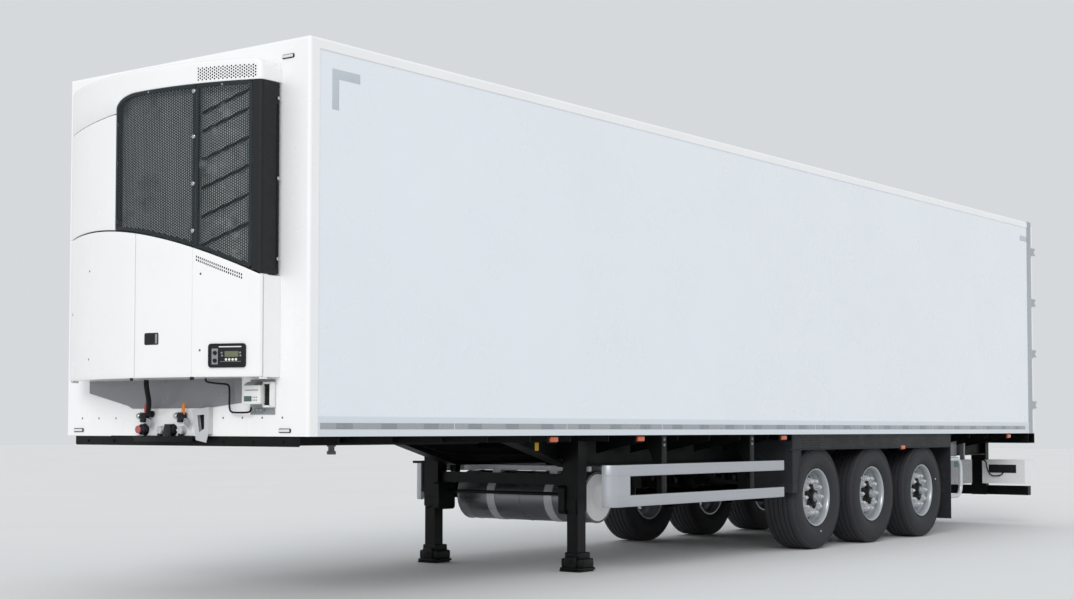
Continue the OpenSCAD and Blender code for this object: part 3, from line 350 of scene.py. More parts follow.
def surface(name, colours, rough=(0.3, 0.4), size_mm=400, bump_mm=0.0, bump_size_mm=3.0, stretch=(1, 1, 1),
            metallic=0.0, coat=0.0, shine=0.5, wear_and_painted_light=None, wear_and_painted_light_size_mm=150):
    """A finish that drifts between two colours and two roughnesses over patches of size_mm, with a fine bump,
    and a third colour in scattered flecks, which is wear on some finishes and painted light and shade on
    others;
    shine is how much light a dull surface mirrors"""
    if name in bpy.data.materials:
        return bpy.data.materials[name]
    mat = bpy.data.materials.new(name)
    mat.use_nodes = True
    tree = mat.node_tree
    tree.nodes.clear()
    out = add(tree, "ShaderNodeOutputMaterial")
    shader = add(tree, "ShaderNodeBsdfPrincipled", {"Metallic": metallic, "Coat Weight": coat,
                                                    "Coat Roughness": 0.08, "Specular IOR Level": shine})
    tree.links.new(shader.outputs[0], out.inputs[0])
    place = add(tree, "ShaderNodeTexCoord").outputs["Object"]
    scale = [s * 1000 / size_mm for s in stretch]
    cloud = add(tree, "ShaderNodeTexNoise", {
        "Vector": add(tree, "ShaderNodeMapping", {"Vector": place, "Scale": scale}).outputs[0],
        "Scale": 1.0, "Detail": 4.0, "Roughness": 0.6})
    mix = add(tree, "ShaderNodeMix", {"Factor": cloud.outputs[0], "A": linear(colours[0]),
                                      "B": linear(colours[1])}, data_type="RGBA")
    colour = mix.outputs["Result"]
    # flecks of a third colour: wear on most finishes, painted highlight and shadow on the coil, shroud and
    # sheen mesh
    if wear_and_painted_light:
        flecks = add(tree, "ShaderNodeTexNoise", {"Vector": place, "Scale": 1000 / wear_and_painted_light_size_mm,
                                                  "Detail": 8.0, "Roughness": 0.7})
        amount = add(tree, "ShaderNodeMapRange", {"Value": flecks.outputs[0], "From Min": 0.56,
                                                  "From Max": 0.72, "To Max": 0.6})
        colour = add(tree, "ShaderNodeMix", {"Factor": amount.outputs[0], "A": colour, "B": linear(wear_and_painted_light)},
                     data_type="RGBA").outputs["Result"]
    tree.links.new(colour, shader.inputs["Base Color"])
    gloss = add(tree, "ShaderNodeMapRange", {"Value": cloud.outputs[0], "From Min": 0.3, "From Max": 0.7,
                                             "To Min": rough[0], "To Max": rough[1]})
    tree.links.new(gloss.outputs[0], shader.inputs["Roughness"])
    if bump_mm:
        fine = add(tree, "ShaderNodeTexNoise", {
            "Vector": add(tree, "ShaderNodeMapping", {
                "Vector": place, "Scale": [s * 1000 / bump_size_mm for s in stretch]}).outputs[0],
            "Scale": 1.0, "Detail": 3.0})
        bump = add(tree, "ShaderNodeBump", {"Height": fine.outputs[0], "Strength": 1.0,
                                            "Distance": bump_mm * MM})
        tree.links.new(bump.outputs[0], shader.inputs["Normal"])
    return mat


def pair(colour, drift=0.93):
    """A user's colour and the slightly darker one that it drifts to"""
    return tuple(colour), tuple(drift * c for c in colour)


def finishes():
    """Every finish of the trailer, by the common name of what the real surface is, with painted light named
    where a colour carries it
    """
    made = {}
    look = bpy.context.scene.trailer_look
    # Gelcoated sandwich panel: glossy white, tinted faintly blue as painted sky light on the sides
    made["panel"] = surface("gelcoat_panel", pair(look.panel_colour), (0.22, 0.32), 900, 0.02, 14, coat=0.3)
    # Polyester powder coat on the front wall: a clean white with an even satin gloss
    made["wall"] = surface("white_powder_coat", pair(look.wall_colour), (0.24, 0.32), 700, 0.02, 6, coat=0.3)
    # Moulded glass-fibre covers with a gloss gelcoat: soft white, faintly uneven reflections
    made["cover"] = surface("white_gelcoat_cover", pair(look.cover_colour), (0.2, 0.28), 500, 0.03, 40,
                            coat=0.4)
    # Anodised aluminium extrusion, lacquered: pale with drawing lines along its length
    made["rail"] = surface("anodised_aluminium_rail", ("#E3E8ED", "#D9DFE6"), (0.3, 0.4), 500, 0.01, 2,
                           stretch=(0.05, 1, 1), metallic=0.15)
    # Mill-finish aluminium guard profile: bright grey, streaked along the extrusion
    made["guard"] = surface("mill_aluminium_profile", pair(look.guard_colour), (0.32, 0.45), 160, 0.02, 1.5,
                            stretch=(0.04, 1, 1), metallic=0.55)
    # Polished aluminium tank: mirror-like with brushing round the shell
    made["tank"] = surface("polished_aluminium_tank", ("#8F9092", "#7E8082"), (0.24, 0.34), 120, 0.01, 0.8,
                           stretch=(1, 0.05, 1), metallic=0.9)
    # Spun end of the tank: brushed in fine circles; its near-white colour is painted light, as the end lies
    # in shade under the body
    made["tank_end"] = surface("spun_aluminium_end", ("#E4E3E3", "#D8D7D7"), (0.34, 0.44), 9, 0.01, 0.7,
                               metallic=0.15)
    # Bright straps of zinc-plated band steel, light and even
    made["strap"] = surface("zinc_plated_strap", ("#D9DBDD", "#CACCCE"), (0.3, 0.42), 60, 0.01, 2,
                            metallic=0.3)
    # Electro-coated steel chassis: near black, satin, dusted grey where road film settles
    made["chassis"] = surface("black_ecoat_steel", ("#0B0C0D", "#060707"), (0.42, 0.56), 200, 0.05, 5,
                              wear_and_painted_light="#17181A", wear_and_painted_light_size_mm=260, shine=0.2)
    # Black powder coat on legs and bumper, a little glossier, with scuffs
    made["black"] = surface("black_powder_coat", ("#0D0E0F", "#070808"), (0.36, 0.48), 150, 0.04, 2.5,
                            wear_and_painted_light="#1A1B1C", wear_and_painted_light_size_mm=90, shine=0.2)
    # Bare machined steel with a film of grease
    made["steel"] = surface("greased_steel", ("#77787A", "#58595B"), (0.25, 0.42), 60, 0.02, 1, metallic=0.9)
    # Hot-dip galvanised sheet: matt grey with a spangle some 15 mm across
    made["zinc"] = surface("galvanised_sheet", ("#A5A9AB", "#8B9093"), (0.4, 0.55), 15, 0.02, 4, metallic=0.5)
    # Stainless steel portal: linished up and down
    made["stainless"] = surface("linished_stainless", ("#C3C6C9", "#ABAFB3"), (0.25, 0.38), 80, 0.01, 0.6,
                                stretch=(1, 1, 0.05), metallic=0.85)
    # Injection-moulded polypropylene mudguard: charcoal with a leathery grain of 2 mm
    made["mudguard"] = surface("polypropylene_mudguard", pair(look.mudguard_colour), (0.45, 0.58), 220,
                               0.12, 2.2, wear_and_painted_light="#4A4B4E", wear_and_painted_light_size_mm=120, shine=0.2)
    # Black EPDM rubber: soft matt black with a bloom
    made["rubber"] = surface("epdm_rubber", ("#141414", "#1C1C1D"), (0.55, 0.7), 60, 0.05, 1.2, shine=0.2)
    # Tyre compound: charcoal, faintly blue, with dust in the texture
    made["tyre"] = surface("tyre_rubber", ("#121317", "#0B0C0E"), (0.5, 0.62), 120, 0.1, 1.6, wear_and_painted_light="#1E2025",
                           wear_and_painted_light_size_mm=60, shine=0.12)
    # Silver wheel enamel over steel: fine metallic, light grey, made a little darker as painted shade for the
    # deep disc
    made["rim"] = surface("silver_wheel_enamel", pair(look.rim_colour), (0.28, 0.38), 90, 0.02, 1.2,
                          metallic=0.45, coat=0.2)
    # Coated perforated steel: dark green-grey, satin
    made["mesh"] = surface("coated_mesh_steel", pair(look.grille_colour), (0.35, 0.48), 260, 0.02, 2,
                           metallic=0.3, shine=0.2)
    # The same coating with painted sheen: paler patches a hand wide stand for gleams of light on it
    made["mesh_painted_sheen"] = surface("mesh_steel_painted_sheen", pair(look.grille_colour), (0.35, 0.48), 260, 0.02, 2,
                                 wear_and_painted_light="#B9C0C1", wear_and_painted_light_size_mm=330, metallic=0.3, shine=0.3)
    # Finned coil behind the mesh: pale aluminium raised to near white as painted sunlight, with painted
    # shadow in dark patches a quarter of a metre across
    made["coil"] = surface("coil_fins", ("#E4E8E8", "#A3A9A9"), (0.4, 0.6), 60, 0.5, 2.5, stretch=(1, 1, 0.1),
                           wear_and_painted_light="#0C0D0E", wear_and_painted_light_size_mm=420)
    # Fan shroud beside the coil: pressed aluminium in patches from near white to mid grey as painted sunlight
    # and shade, with black flecks of painted shadow
    made["shroud"] = surface("fan_shroud", ("#F2F5F5", "#9AA0A0"), (0.4, 0.6), 170, 0.2, 2.5,
                             stretch=(1, 1, 1.6), wear_and_painted_light="#050606", wear_and_painted_light_size_mm=210, shine=0.2)
    # Enamelled cast iron of the engine, and the dark pressed parts beside it: matt, with a sandy cast skin
    made["engine"] = surface("engine_enamel", ("#1E1F20", "#2A2B2C"), (0.4, 0.6), 80, 0.3, 6, shine=0.2)
    # Grey ABS housing, spark-eroded texture of 0.6 mm, drawn at 1.2 mm so that it shows
    made["grey"] = surface("grey_abs", ("#8E9395", "#858A8D"), (0.4, 0.5), 120, 0.03, 1.2)
    # Light grey sheet apron under the unit
    made["apron"] = surface("grey_painted_sheet", ("#8B8D90", "#7F8184"), (0.25, 0.35), 260, 0.02, 8)
    # Folded aluminium sheet bracket, left bare: pale, soft reflections
    made["sheet"] = surface("bare_aluminium_sheet", ("#CDCECF", "#C3C4C5"), (0.3, 0.42), 90, 0.01, 2,
                            metallic=0.25)
    # White-primed aluminium sheet of the lamp housings: bright and even
    made["carrier"] = surface("primed_aluminium_sheet", ("#F0F1F1", "#E6E7E8"), (0.35, 0.45), 120, 0.01, 2)
    # White ABS of the data logger
    made["white_abs"] = surface("white_abs", ("#F0F0EE", "#E6E6E4"), (0.32, 0.42), 90, 0.02, 1.2)
    # Dark moulded nylon of bezels, sockets and levers' bodies
    made["nylon"] = surface("black_nylon", ("#26282A", "#1D1F20"), (0.35, 0.5), 40, 0.03, 1, shine=0.2)
    # Bright chromium plate on fittings
    made["chrome"] = surface("nickel_plate", ("#C9CBCD", "#B5B7BA"), (0.12, 0.22), 40, metallic=1.0)
    # Dyed nylon of the brake couplings' levers, and the sun-faded rubber of a socket's lid
    made["red"] = surface("red_nylon", ("#C81F2A", "#B31A24"), (0.3, 0.4), 40, 0.02, 1)
    made["orange"] = surface("orange_nylon", ("#F08A22", "#E37A18"), (0.3, 0.4), 40, 0.02, 1)
    made["pink"] = surface("faded_red_rubber", ("#B4605F", "#A85553"), (0.4, 0.55), 30, 0.02, 1)
    # Moulded acrylic lenses: clear gloss over a coloured body with a soft ripple
    made["amber"] = surface("amber_acrylic_lens", ("#E0662A", "#D2571E"), (0.12, 0.2), 30, 0.15, 4, coat=0.6)
    made["red_lens"] = surface("red_acrylic_lens", ("#B3141B", "#9A0F15"), (0.12, 0.2), 30, 0.15, 4, coat=0.6)
    made["clear"] = surface("clear_acrylic_lens", ("#E9EBEC", "#D9DCDE"), (0.1, 0.18), 30, 0.15, 4, coat=0.6)
    # Printed vinyl labels, left blank: flat colour with a satin film
    made["yellow"] = surface("yellow_vinyl_label", ("#E3B420", "#D8A718"), (0.35, 0.45), 60, 0.01, 2)
    made["green"] = surface("green_vinyl_label", ("#3E6A55", "#37604D"), (0.35, 0.45), 60, 0.01, 2)
    # Liquid crystal displays behind glass: an even grey-green under a sharp gloss
    made["screen"] = surface("olive_lcd_glass", ("#6A7152", "#5F664A"), (0.08, 0.14), 60, coat=0.7)
    made["dark_screen"] = surface("green_lcd_glass", ("#3C5A52", "#314C45"), (0.08, 0.14), 60, coat=0.7)
    # Retro-reflective sheeting: pale grey with a hexagonal cell pattern some 3 mm wide
    made["tape"] = surface("reflective_sheeting", ("#A7AAAE", "#9FA2A6"), (0.25, 0.35), 60, 0.05, 3)
    made["tape_dark"] = surface("reflective_sheeting_grey", ("#94989D", "#8C9095"), (0.25, 0.35), 60, 0.05, 3)
    made["mark"] = surface("reflective_corner_mark", ("#C9CFD6", "#C1C8D0"), (0.2, 0.3), 60, 0.04, 3)
    # Resin floor with quartz sand, non-slip
    made["floor"] = surface("quartz_resin_floor", ("#6E7174", "#5F6265"), (0.55, 0.7), 60, 0.4, 2)
    # Stoved enamel on the shock absorbers: dark grey, half gloss
    made["shock"] = surface("damper_enamel", ("#3A3B3D", "#2E2F31"), (0.3, 0.4), 80, 0.02, 2)
    return made


NODE_FINISH = {
    "floor": "floor", "side_wall_left": "panel", "side_wall_right": "panel", "front_wall": "wall",
    "roof": "panel", "base_rails": "rail", "edge_rails": "wall", "rear_frame": "stainless",
    "evaporator": "grey", "main_beams": "chassis", "cross_members": "chassis", "coupling_plate": "chassis",
    "kingpin": "steel", "landing_legs": "black", "landing_shaft": "black", "fuel_tank": "tank",
    "tank_straps": "strap", "side_guards": "guard", "mudguards": "mudguard", "suspension_hangers": "chassis",
    "trailing_arms": "chassis", "air_springs": "rubber", "shock_absorbers": "shock", "axles": "black",
    "air_tanks": "black", "underrun_bumper": "black", "rear_sill": "black", "lamp_carriers": "carrier",
    "rear_buffers": "rubber", "valve_module": "apron", "valve_guard": "strap", "service_panel": "wall",
    "couplings": "nylon", "data_recorder": "white_abs", "front_lines": "rubber", "reefer_frame": "cover",
    "reefer_condenser": "coil", "reefer_engine": "engine", "reefer_hood": "cover",
    "reefer_side_cover": "cover", "reefer_grille": "mesh", "rear_door_left": "panel",
    "rear_door_right": "panel", "door_locks_left": "stainless", "door_locks_right": "stainless",
    "reefer_door_left": "cover", "reefer_door_right": "cover",
}


def dress_nodes(made):
    """Gives every CAD node its finish"""
    for name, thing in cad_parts.items():
        first = name.split("_")[0]
        kind = first if first in ("tyre", "rim") else NODE_FINISH[name]
        thing.data.materials.clear()
        thing.data.materials.append(made[kind])


# ------------------------------------------------- the refrigeration unit

SIDE_DEPTH = 190 * MM
UNIT_R = (UNIT_HALF**2 + (UNIT_DEPTH - SIDE_DEPTH)**2) / (2 * (UNIT_DEPTH - SIDE_DEPTH))
UNIT_AXIS = FRONT + UNIT_DEPTH - UNIT_R
# The arc that parts the doors from the panels above: its rise over the doors, its radius and its middle
LINE_RISE = 1.090
LINE_R = 3.676
LINE_MID = -0.6
# The seam between the hood and the side cover: a height at one place, and its slope
SEAM_Z = 3.471
SEAM_Y = -0.948
SEAM_SLOPE = 0.073
# The bank of vent holes in the hood, and the upright seam and the corner of the grille
VENTS = dict(y0=0.56, y1=0.99, z0=3.665, z1=3.765)
GRILLE_SEAM = 0.549
GRILLE_CORNER = 0.962


def door_line(y):
    """Height of the arc that parts the doors from the panels above them"""
    return UNIT_LOW + LINE_RISE - LINE_R + np.sqrt(LINE_R**2 - (np.asarray(y) - LINE_MID)**2)


def unit_path(y0, y1, r, side0=None, side1=None):
    """Plan of the unit's skin: an arc about the unit's axis, a fillet of radius r at each corner that it
    goes round, and the side back to the given x; returns points and outward directions"""
    cy = UNIT_HALF - r
    cx = UNIT_AXIS + math.sqrt((UNIT_R - r)**2 - cy**2)
    phi = math.asin(cy / (UNIT_R - r))
    lim = cy * UNIT_R / (UNIT_R - r)
    y = np.linspace(-lim if side0 is not None else y0, lim if side1 is not None else y1, 160)
    x = UNIT_AXIS + np.sqrt(UNIT_R**2 - y**2)
    pts = np.stack([x, y], 1)
    nrm = np.stack([x - UNIT_AXIS, y], 1) / UNIT_R
    for sign, back in ((-1, side0), (1, side1)):
        if back is None:
            continue
        a = np.linspace(phi, math.pi / 2, 10)[1:]
        n = np.stack([np.cos(a), sign * np.sin(a)], 1)
        p = np.array([cx, sign * cy]) + r * n
        sx = np.linspace(cx, back, 12)[1:]
        p = np.vstack([p, np.stack([sx, np.full(len(sx), sign * UNIT_HALF)], 1)])
        n = np.vstack([n, np.tile([0.0, sign], (len(sx), 1))])
        pts = np.vstack([pts, p]) if sign > 0 else np.vstack([p[::-1], pts])
        nrm = np.vstack([nrm, n]) if sign > 0 else np.vstack([n[::-1], nrm])
    return pts, nrm


def travelled(points):
    """Length along a line of points, at each of them"""
    return np.concatenate([[0], np.cumsum(np.linalg.norm(np.diff(points, axis=0), axis=1))])


def along(path, grooves=(), edge=4 * MM, step=16 * MM, groove=(6 * MM, 5 * MM)):
    """Resamples a plan path by length, with extra places at its rounded ends and at grooves, and gives
    how far each place is turned in"""
    pts, nrm = path
    s = travelled(pts)
    a = np.linspace(0, np.pi / 2, 4)
    ends = edge * (1 - np.cos(a))
    places = [*np.linspace(edge, s[-1] - edge, max(3, int(s[-1] / step))), *ends, *(s[-1] - ends)]
    marks = [float(np.interp(g, pts[:, 1], s)) for g in grooves]
    for m in marks:
        places += [m - groove[0] / 2 - 1e-3, m - groove[0] / 2, m + groove[0] / 2, m + groove[0] / 2 + 1e-3]
    q = np.unique(np.round(places, 6))
    inset = edge - np.sqrt(np.maximum(edge**2 - np.maximum(edge - np.minimum(q, s[-1] - q), 0)**2, 0))
    for m in marks:
        inset = np.where(np.abs(q - m) < groove[0] / 2 + 1e-5, groove[1], inset)
    p = np.stack([np.interp(q, s, pts[:, k]) for k in (0, 1)], 1)
    n = np.stack([np.interp(q, s, nrm[:, k]) for k in (0, 1)], 1)
    return p, n / np.linalg.norm(n, axis=1)[:, None], inset


def unit_panel(path, z0, z1, wall=18 * MM, edge=4 * MM, grooves=(), rows=14):
    """A cover on the unit's skin: u runs along the plan, v from the lower line z0 to the upper line z1,
    and each border turns in by a quarter circle"""
    p, n, inset = along(path, grooves, edge)
    a = np.linspace(0, np.pi / 2, 4)
    d = edge * (1 - np.cos(a))
    inset_v = np.concatenate([edge * (1 - np.sin(a)), np.zeros(rows), edge * (1 - np.sin(a))[::-1]])
    lo, hi = z0(p[:, 1])[:, None], z1(p[:, 1])[:, None]
    mid = lo + edge + (hi - lo - 2 * edge) * (np.arange(rows) + 0.5)[None] / rows
    z = np.concatenate([lo + d[None], mid, hi - d[::-1][None]], 1)
    turn = np.maximum(inset[:, None], inset_v[None])
    outer = np.stack([p[:, :1] - n[:, :1] * turn, p[:, 1:] - n[:, 1:] * turn, z], -1)
    inner = np.stack([np.broadcast_to(p[:, :1] - n[:, :1] * wall, z.shape),
                      np.broadcast_to(p[:, 1:] - n[:, 1:] * wall, z.shape), z], -1)
    return thick(outer, inner)


def on_skin(y, z, out=0.0):
    """A place on the unit's front at y and z, out metres in front of it, and its axes there"""
    x = UNIT_AXIS + math.sqrt(UNIT_R**2 - y**2)
    n = np.array([(x - UNIT_AXIS) / UNIT_R, y / UNIT_R, 0])
    side = np.array([-n[1], n[0], 0])
    return dict(origin=np.array([x, y, z]) + n * out, x=side, y=(0, 0, 1), z=n)


def on_unit(part, y, z, out=0.0):
    """A surface drawn about Z, set on the unit's front at y and z"""
    return moved(part, **on_skin(y, z, out))


def hood_low(y):
    """Lower line of the hood: the seam over the side cover, a rounded step up beside the louvres, and the
    line above them"""
    seam = SEAM_Z + (np.asarray(y) - SEAM_Y) * SEAM_SLOPE
    turn = GRILLE_TOP - 108 * MM + 100 * MM * np.sqrt(np.clip(1 - (np.minimum(y, 0) / -GRILLE_SIDE)**2, 0, 1))
    return np.where(np.asarray(y) < GRILLE_SIDE + 1 * MM, seam, turn + 8 * MM * np.clip(y, 0, 1))


def hood_roof(y, r=66 * MM):
    """Height of the hood's top, rounded down towards its two ends"""
    over = np.maximum(np.abs(y) - (UNIT_HALF - r), 0)
    return UNIT_TOP - r + np.sqrt(np.maximum(r * r - over**2, 0))


def perforated(place, s0, s1, z0, z1, pitch, hole, wall, inside, bored):
    """A sheet of brick-set cells, each an eight-sided hole in a rectangle: odd columns start half a cell
    up, inside says which cells there are and bored which have a hole, and every open edge gets a wall;
    place gives the point on the skin for a length, a height and a depth"""
    w, h = [(b - a) / round((b - a) / p) for a, b, p in ((s0, s1, pitch * math.sqrt(3) / 2), (z0, z1, pitch))]
    c, r = np.meshgrid(np.arange(round((s1 - s0) / w)), np.arange(round((z1 - z0) / h) + 1), indexing="ij")
    start = (r - 0.5 * (c % 2)) * h
    lo, hi = np.maximum(start, 0), np.minimum(start + h, z1 - z0)
    c, lo, hi = [v[hi - lo > 1e-6] for v in (c, lo, hi)]
    keep = inside(s0 + (c + 0.5) * w, z0 + (lo + hi) / 2)
    c, lo, hi = c[keep], lo[keep], hi[keep]
    cs, cz, whole = s0 + (c + 0.5) * w, z0 + (lo + hi) / 2, hi - lo > 0.9 * h
    rx, rz = np.array([[0, 1, 1, 1, 0, -1, -1, -1], [-1, -1, 0, 1, 1, 1, 0, -1]])
    side = np.where(whole[:, None] | (rz != 0)[None], rz[None], -1)
    a = np.arctan2(rz * h, rx * w)
    ring = np.stack([cs[:, None] + rx[None] * w / 2, cz[:, None] + side * (hi - lo)[:, None] / 2], -1)
    rim = np.stack([cs[:, None] + hole * np.cos(a), cz[:, None] + hole * np.sin(a)], -1)
    flat = np.concatenate([ring.reshape(-1, 2), rim.reshape(-1, 2)])
    k, k1, n = np.arange(8)[None], (np.arange(8)[None] + 1) % 8, len(c)
    first = np.arange(n)[:, None] * 8
    hit = whole & bored(cs, cz)
    rings = first[hit]
    open_cells = np.stack([rings + k, rings + k1, rings + k1 + 8 * n, rings + k + 8 * n], -1).reshape(-1, 4)
    fan = np.array([[0, 1, 2, 3], [0, 3, 4, 5], [0, 5, 6, 7]])
    shut_cells = (first[~hit][:, :, None] + fan[None]).reshape(-1, 4)
    used = np.unique(np.concatenate([open_cells.ravel(), shut_cells.ravel()]))
    index = np.zeros(len(flat), int)
    index[used] = np.arange(len(used))
    u, z = flat[used].T
    return sheeted(place(u, z, 0.0), place(u, z, wall), [index[open_cells], index[shut_cells]])


def banded(place, outline, width, depth0, depth1):
    """A flat border that follows a closed outline on the skin, width broad and from depth0 to depth1"""
    inner = shrunk(outline, width)
    rings = [(outline, depth0), (inner, depth0), (inner, depth1), (outline, depth1)]
    return lattice(np.stack([place(o[:, 0], o[:, 1], d) for o, d in rings], 1), wrap_u=True, wrap_v=True)


def skin_place(path):
    """A function from length along a path, height and depth to a point on the skin, and the lengths at
    the path's points"""
    pts, nrm = path
    s = travelled(pts)

    def place(u, z, depth):
        """The point on the skin, moved in by depth against the outward direction"""
        xy = [np.interp(u, s, pts[:, k]) - depth * np.interp(u, s, nrm[:, k]) for k in (0, 1)]
        return np.stack([xy[0], xy[1], z], -1)

    return place, s


def length_at(path, y):
    """Length along a path at which its front passes y"""
    return float(np.interp(y, path[0][:, 1], travelled(path[0])))


def make_hood(fin):
    """The hood over the unit, with its bank of vent holes at the left: the skin's plan carried up from the
    hood's lower line, over its top edge by a quarter circle, and back to the wall"""
    path = unit_path(0, 0, 34 * MM, FRONT + 1 * MM, FRONT + 1 * MM)
    vent_0, vent_1, jump = [length_at(path, y) for y in (VENTS["y0"], VENTS["y1"], GRILLE_SIDE)]
    place, s = skin_place(path)
    q = travelled(along(path, (), 1e-4, 14 * MM)[0])
    q = np.unique(np.round(np.concatenate([q / q[-1] * s[-1], [vent_0, vent_1]]), 7))
    # extra columns where the lower line steps up beside the louvres
    step_up = jump + np.linspace(0, 0.06, 12)[1:]
    q = np.unique(np.concatenate([q, [jump + 0.5 * MM, jump + 1.5 * MM], step_up]))
    xy = place(q, np.zeros(len(q)), 0)[:, :2]
    normal = xy - place(q, np.zeros(len(q)), 1.0)[:, :2]
    r, lip, wall, flat_half = 26 * MM, 3 * MM, 16 * MM, 0.86
    lo = hood_low(xy[:, 1])
    a = np.linspace(0, np.pi / 2, 6)
    rows = [(lo + lip * (1 - np.cos(t)), lip * (1 - np.sin(t))) for t in a[::2]]
    vent_row = len(rows)
    mid = [np.maximum(VENTS["z0"], lo + 8 * MM), np.maximum(VENTS["z1"], lo + 12 * MM)]
    rows += [(np.minimum(m, hood_roof(xy[:, 1]) - r), 0.0) for m in mid]
    grids = [np.column_stack([xy - normal * inset, z]) for z, inset in rows]
    for t in a:
        flat = xy - normal * (r * (1 - np.cos(t)))
        grids.append(np.column_stack([flat, hood_roof(flat[:, 1]) - r * (1 - np.sin(t))]))
    spine = np.column_stack([np.full(len(q), FRONT + 1.5 * MM), np.clip(xy[:, 1], -flat_half, flat_half)])
    for t in (0.08, 0.18, 0.3, 0.5, 0.75, 1):
        flat = (xy - normal * r) * (1 - t) + spine * t
        grids.append(np.column_stack([flat, hood_roof(flat[:, 1])]))
    outer = np.stack(grids, 1)
    inner = outer.copy()
    inner[:, :, :2] = xy[:, None] - normal[:, None] * wall + (outer[:, :, :2] - xy[:, None]) * 0.97
    inner[:, :, 2] = np.minimum(outer[:, :, 2], hood_roof(outer[:, :, 1]) - wall)
    keep = np.ones((len(q) - 1, outer.shape[1] - 1), bool)
    mids = (q[:-1] + q[1:]) / 2
    keep[(mids > vent_0) & (mids < vent_1), vent_row] = False
    put("hood", thick(outer, inner, keep), fin["cover"], stands_for=["reefer_hood"])
    look = bpy.context.scene.trailer_look
    vents = perforated(place, vent_0 - 1 * MM, vent_1 + 1 * MM, VENTS["z0"] - 1 * MM, VENTS["z1"] + 1 * MM,
                       look.hole_pitch, look.hole_size / 2, 2 * MM, lambda u, z: u > 0, lambda u, z: u > 0)
    put("hood_vents", vents, fin["cover"])
    # a dark sheet just behind the vent holes: painted shade for the inside of the hood
    u = np.repeat(np.linspace(vent_0 - 3 * MM, vent_1 + 3 * MM, 12)[:, None], 3, 1)
    z = np.tile(np.linspace(VENTS["z0"] - 3 * MM, VENTS["z1"] + 3 * MM, 3), (12, 1))
    put("hood_vent_painted_shade", thick(place(u, z, 9 * MM), place(u, z, 11 * MM)), fin["engine"])


def make_side_cover(fin):
    """The plain cover beside the louvres"""
    path = unit_path(0, GRILLE_SIDE - 1 * MM, 30 * MM, side0=FRONT + 1 * MM)
    part = unit_panel(path, lambda y: door_line(y) + 1 * MM, lambda y: hood_low(np.minimum(y, -0.3)) - 6 * MM)
    put("side_cover", part, fin["cover"], stands_for=["reefer_side_cover"])


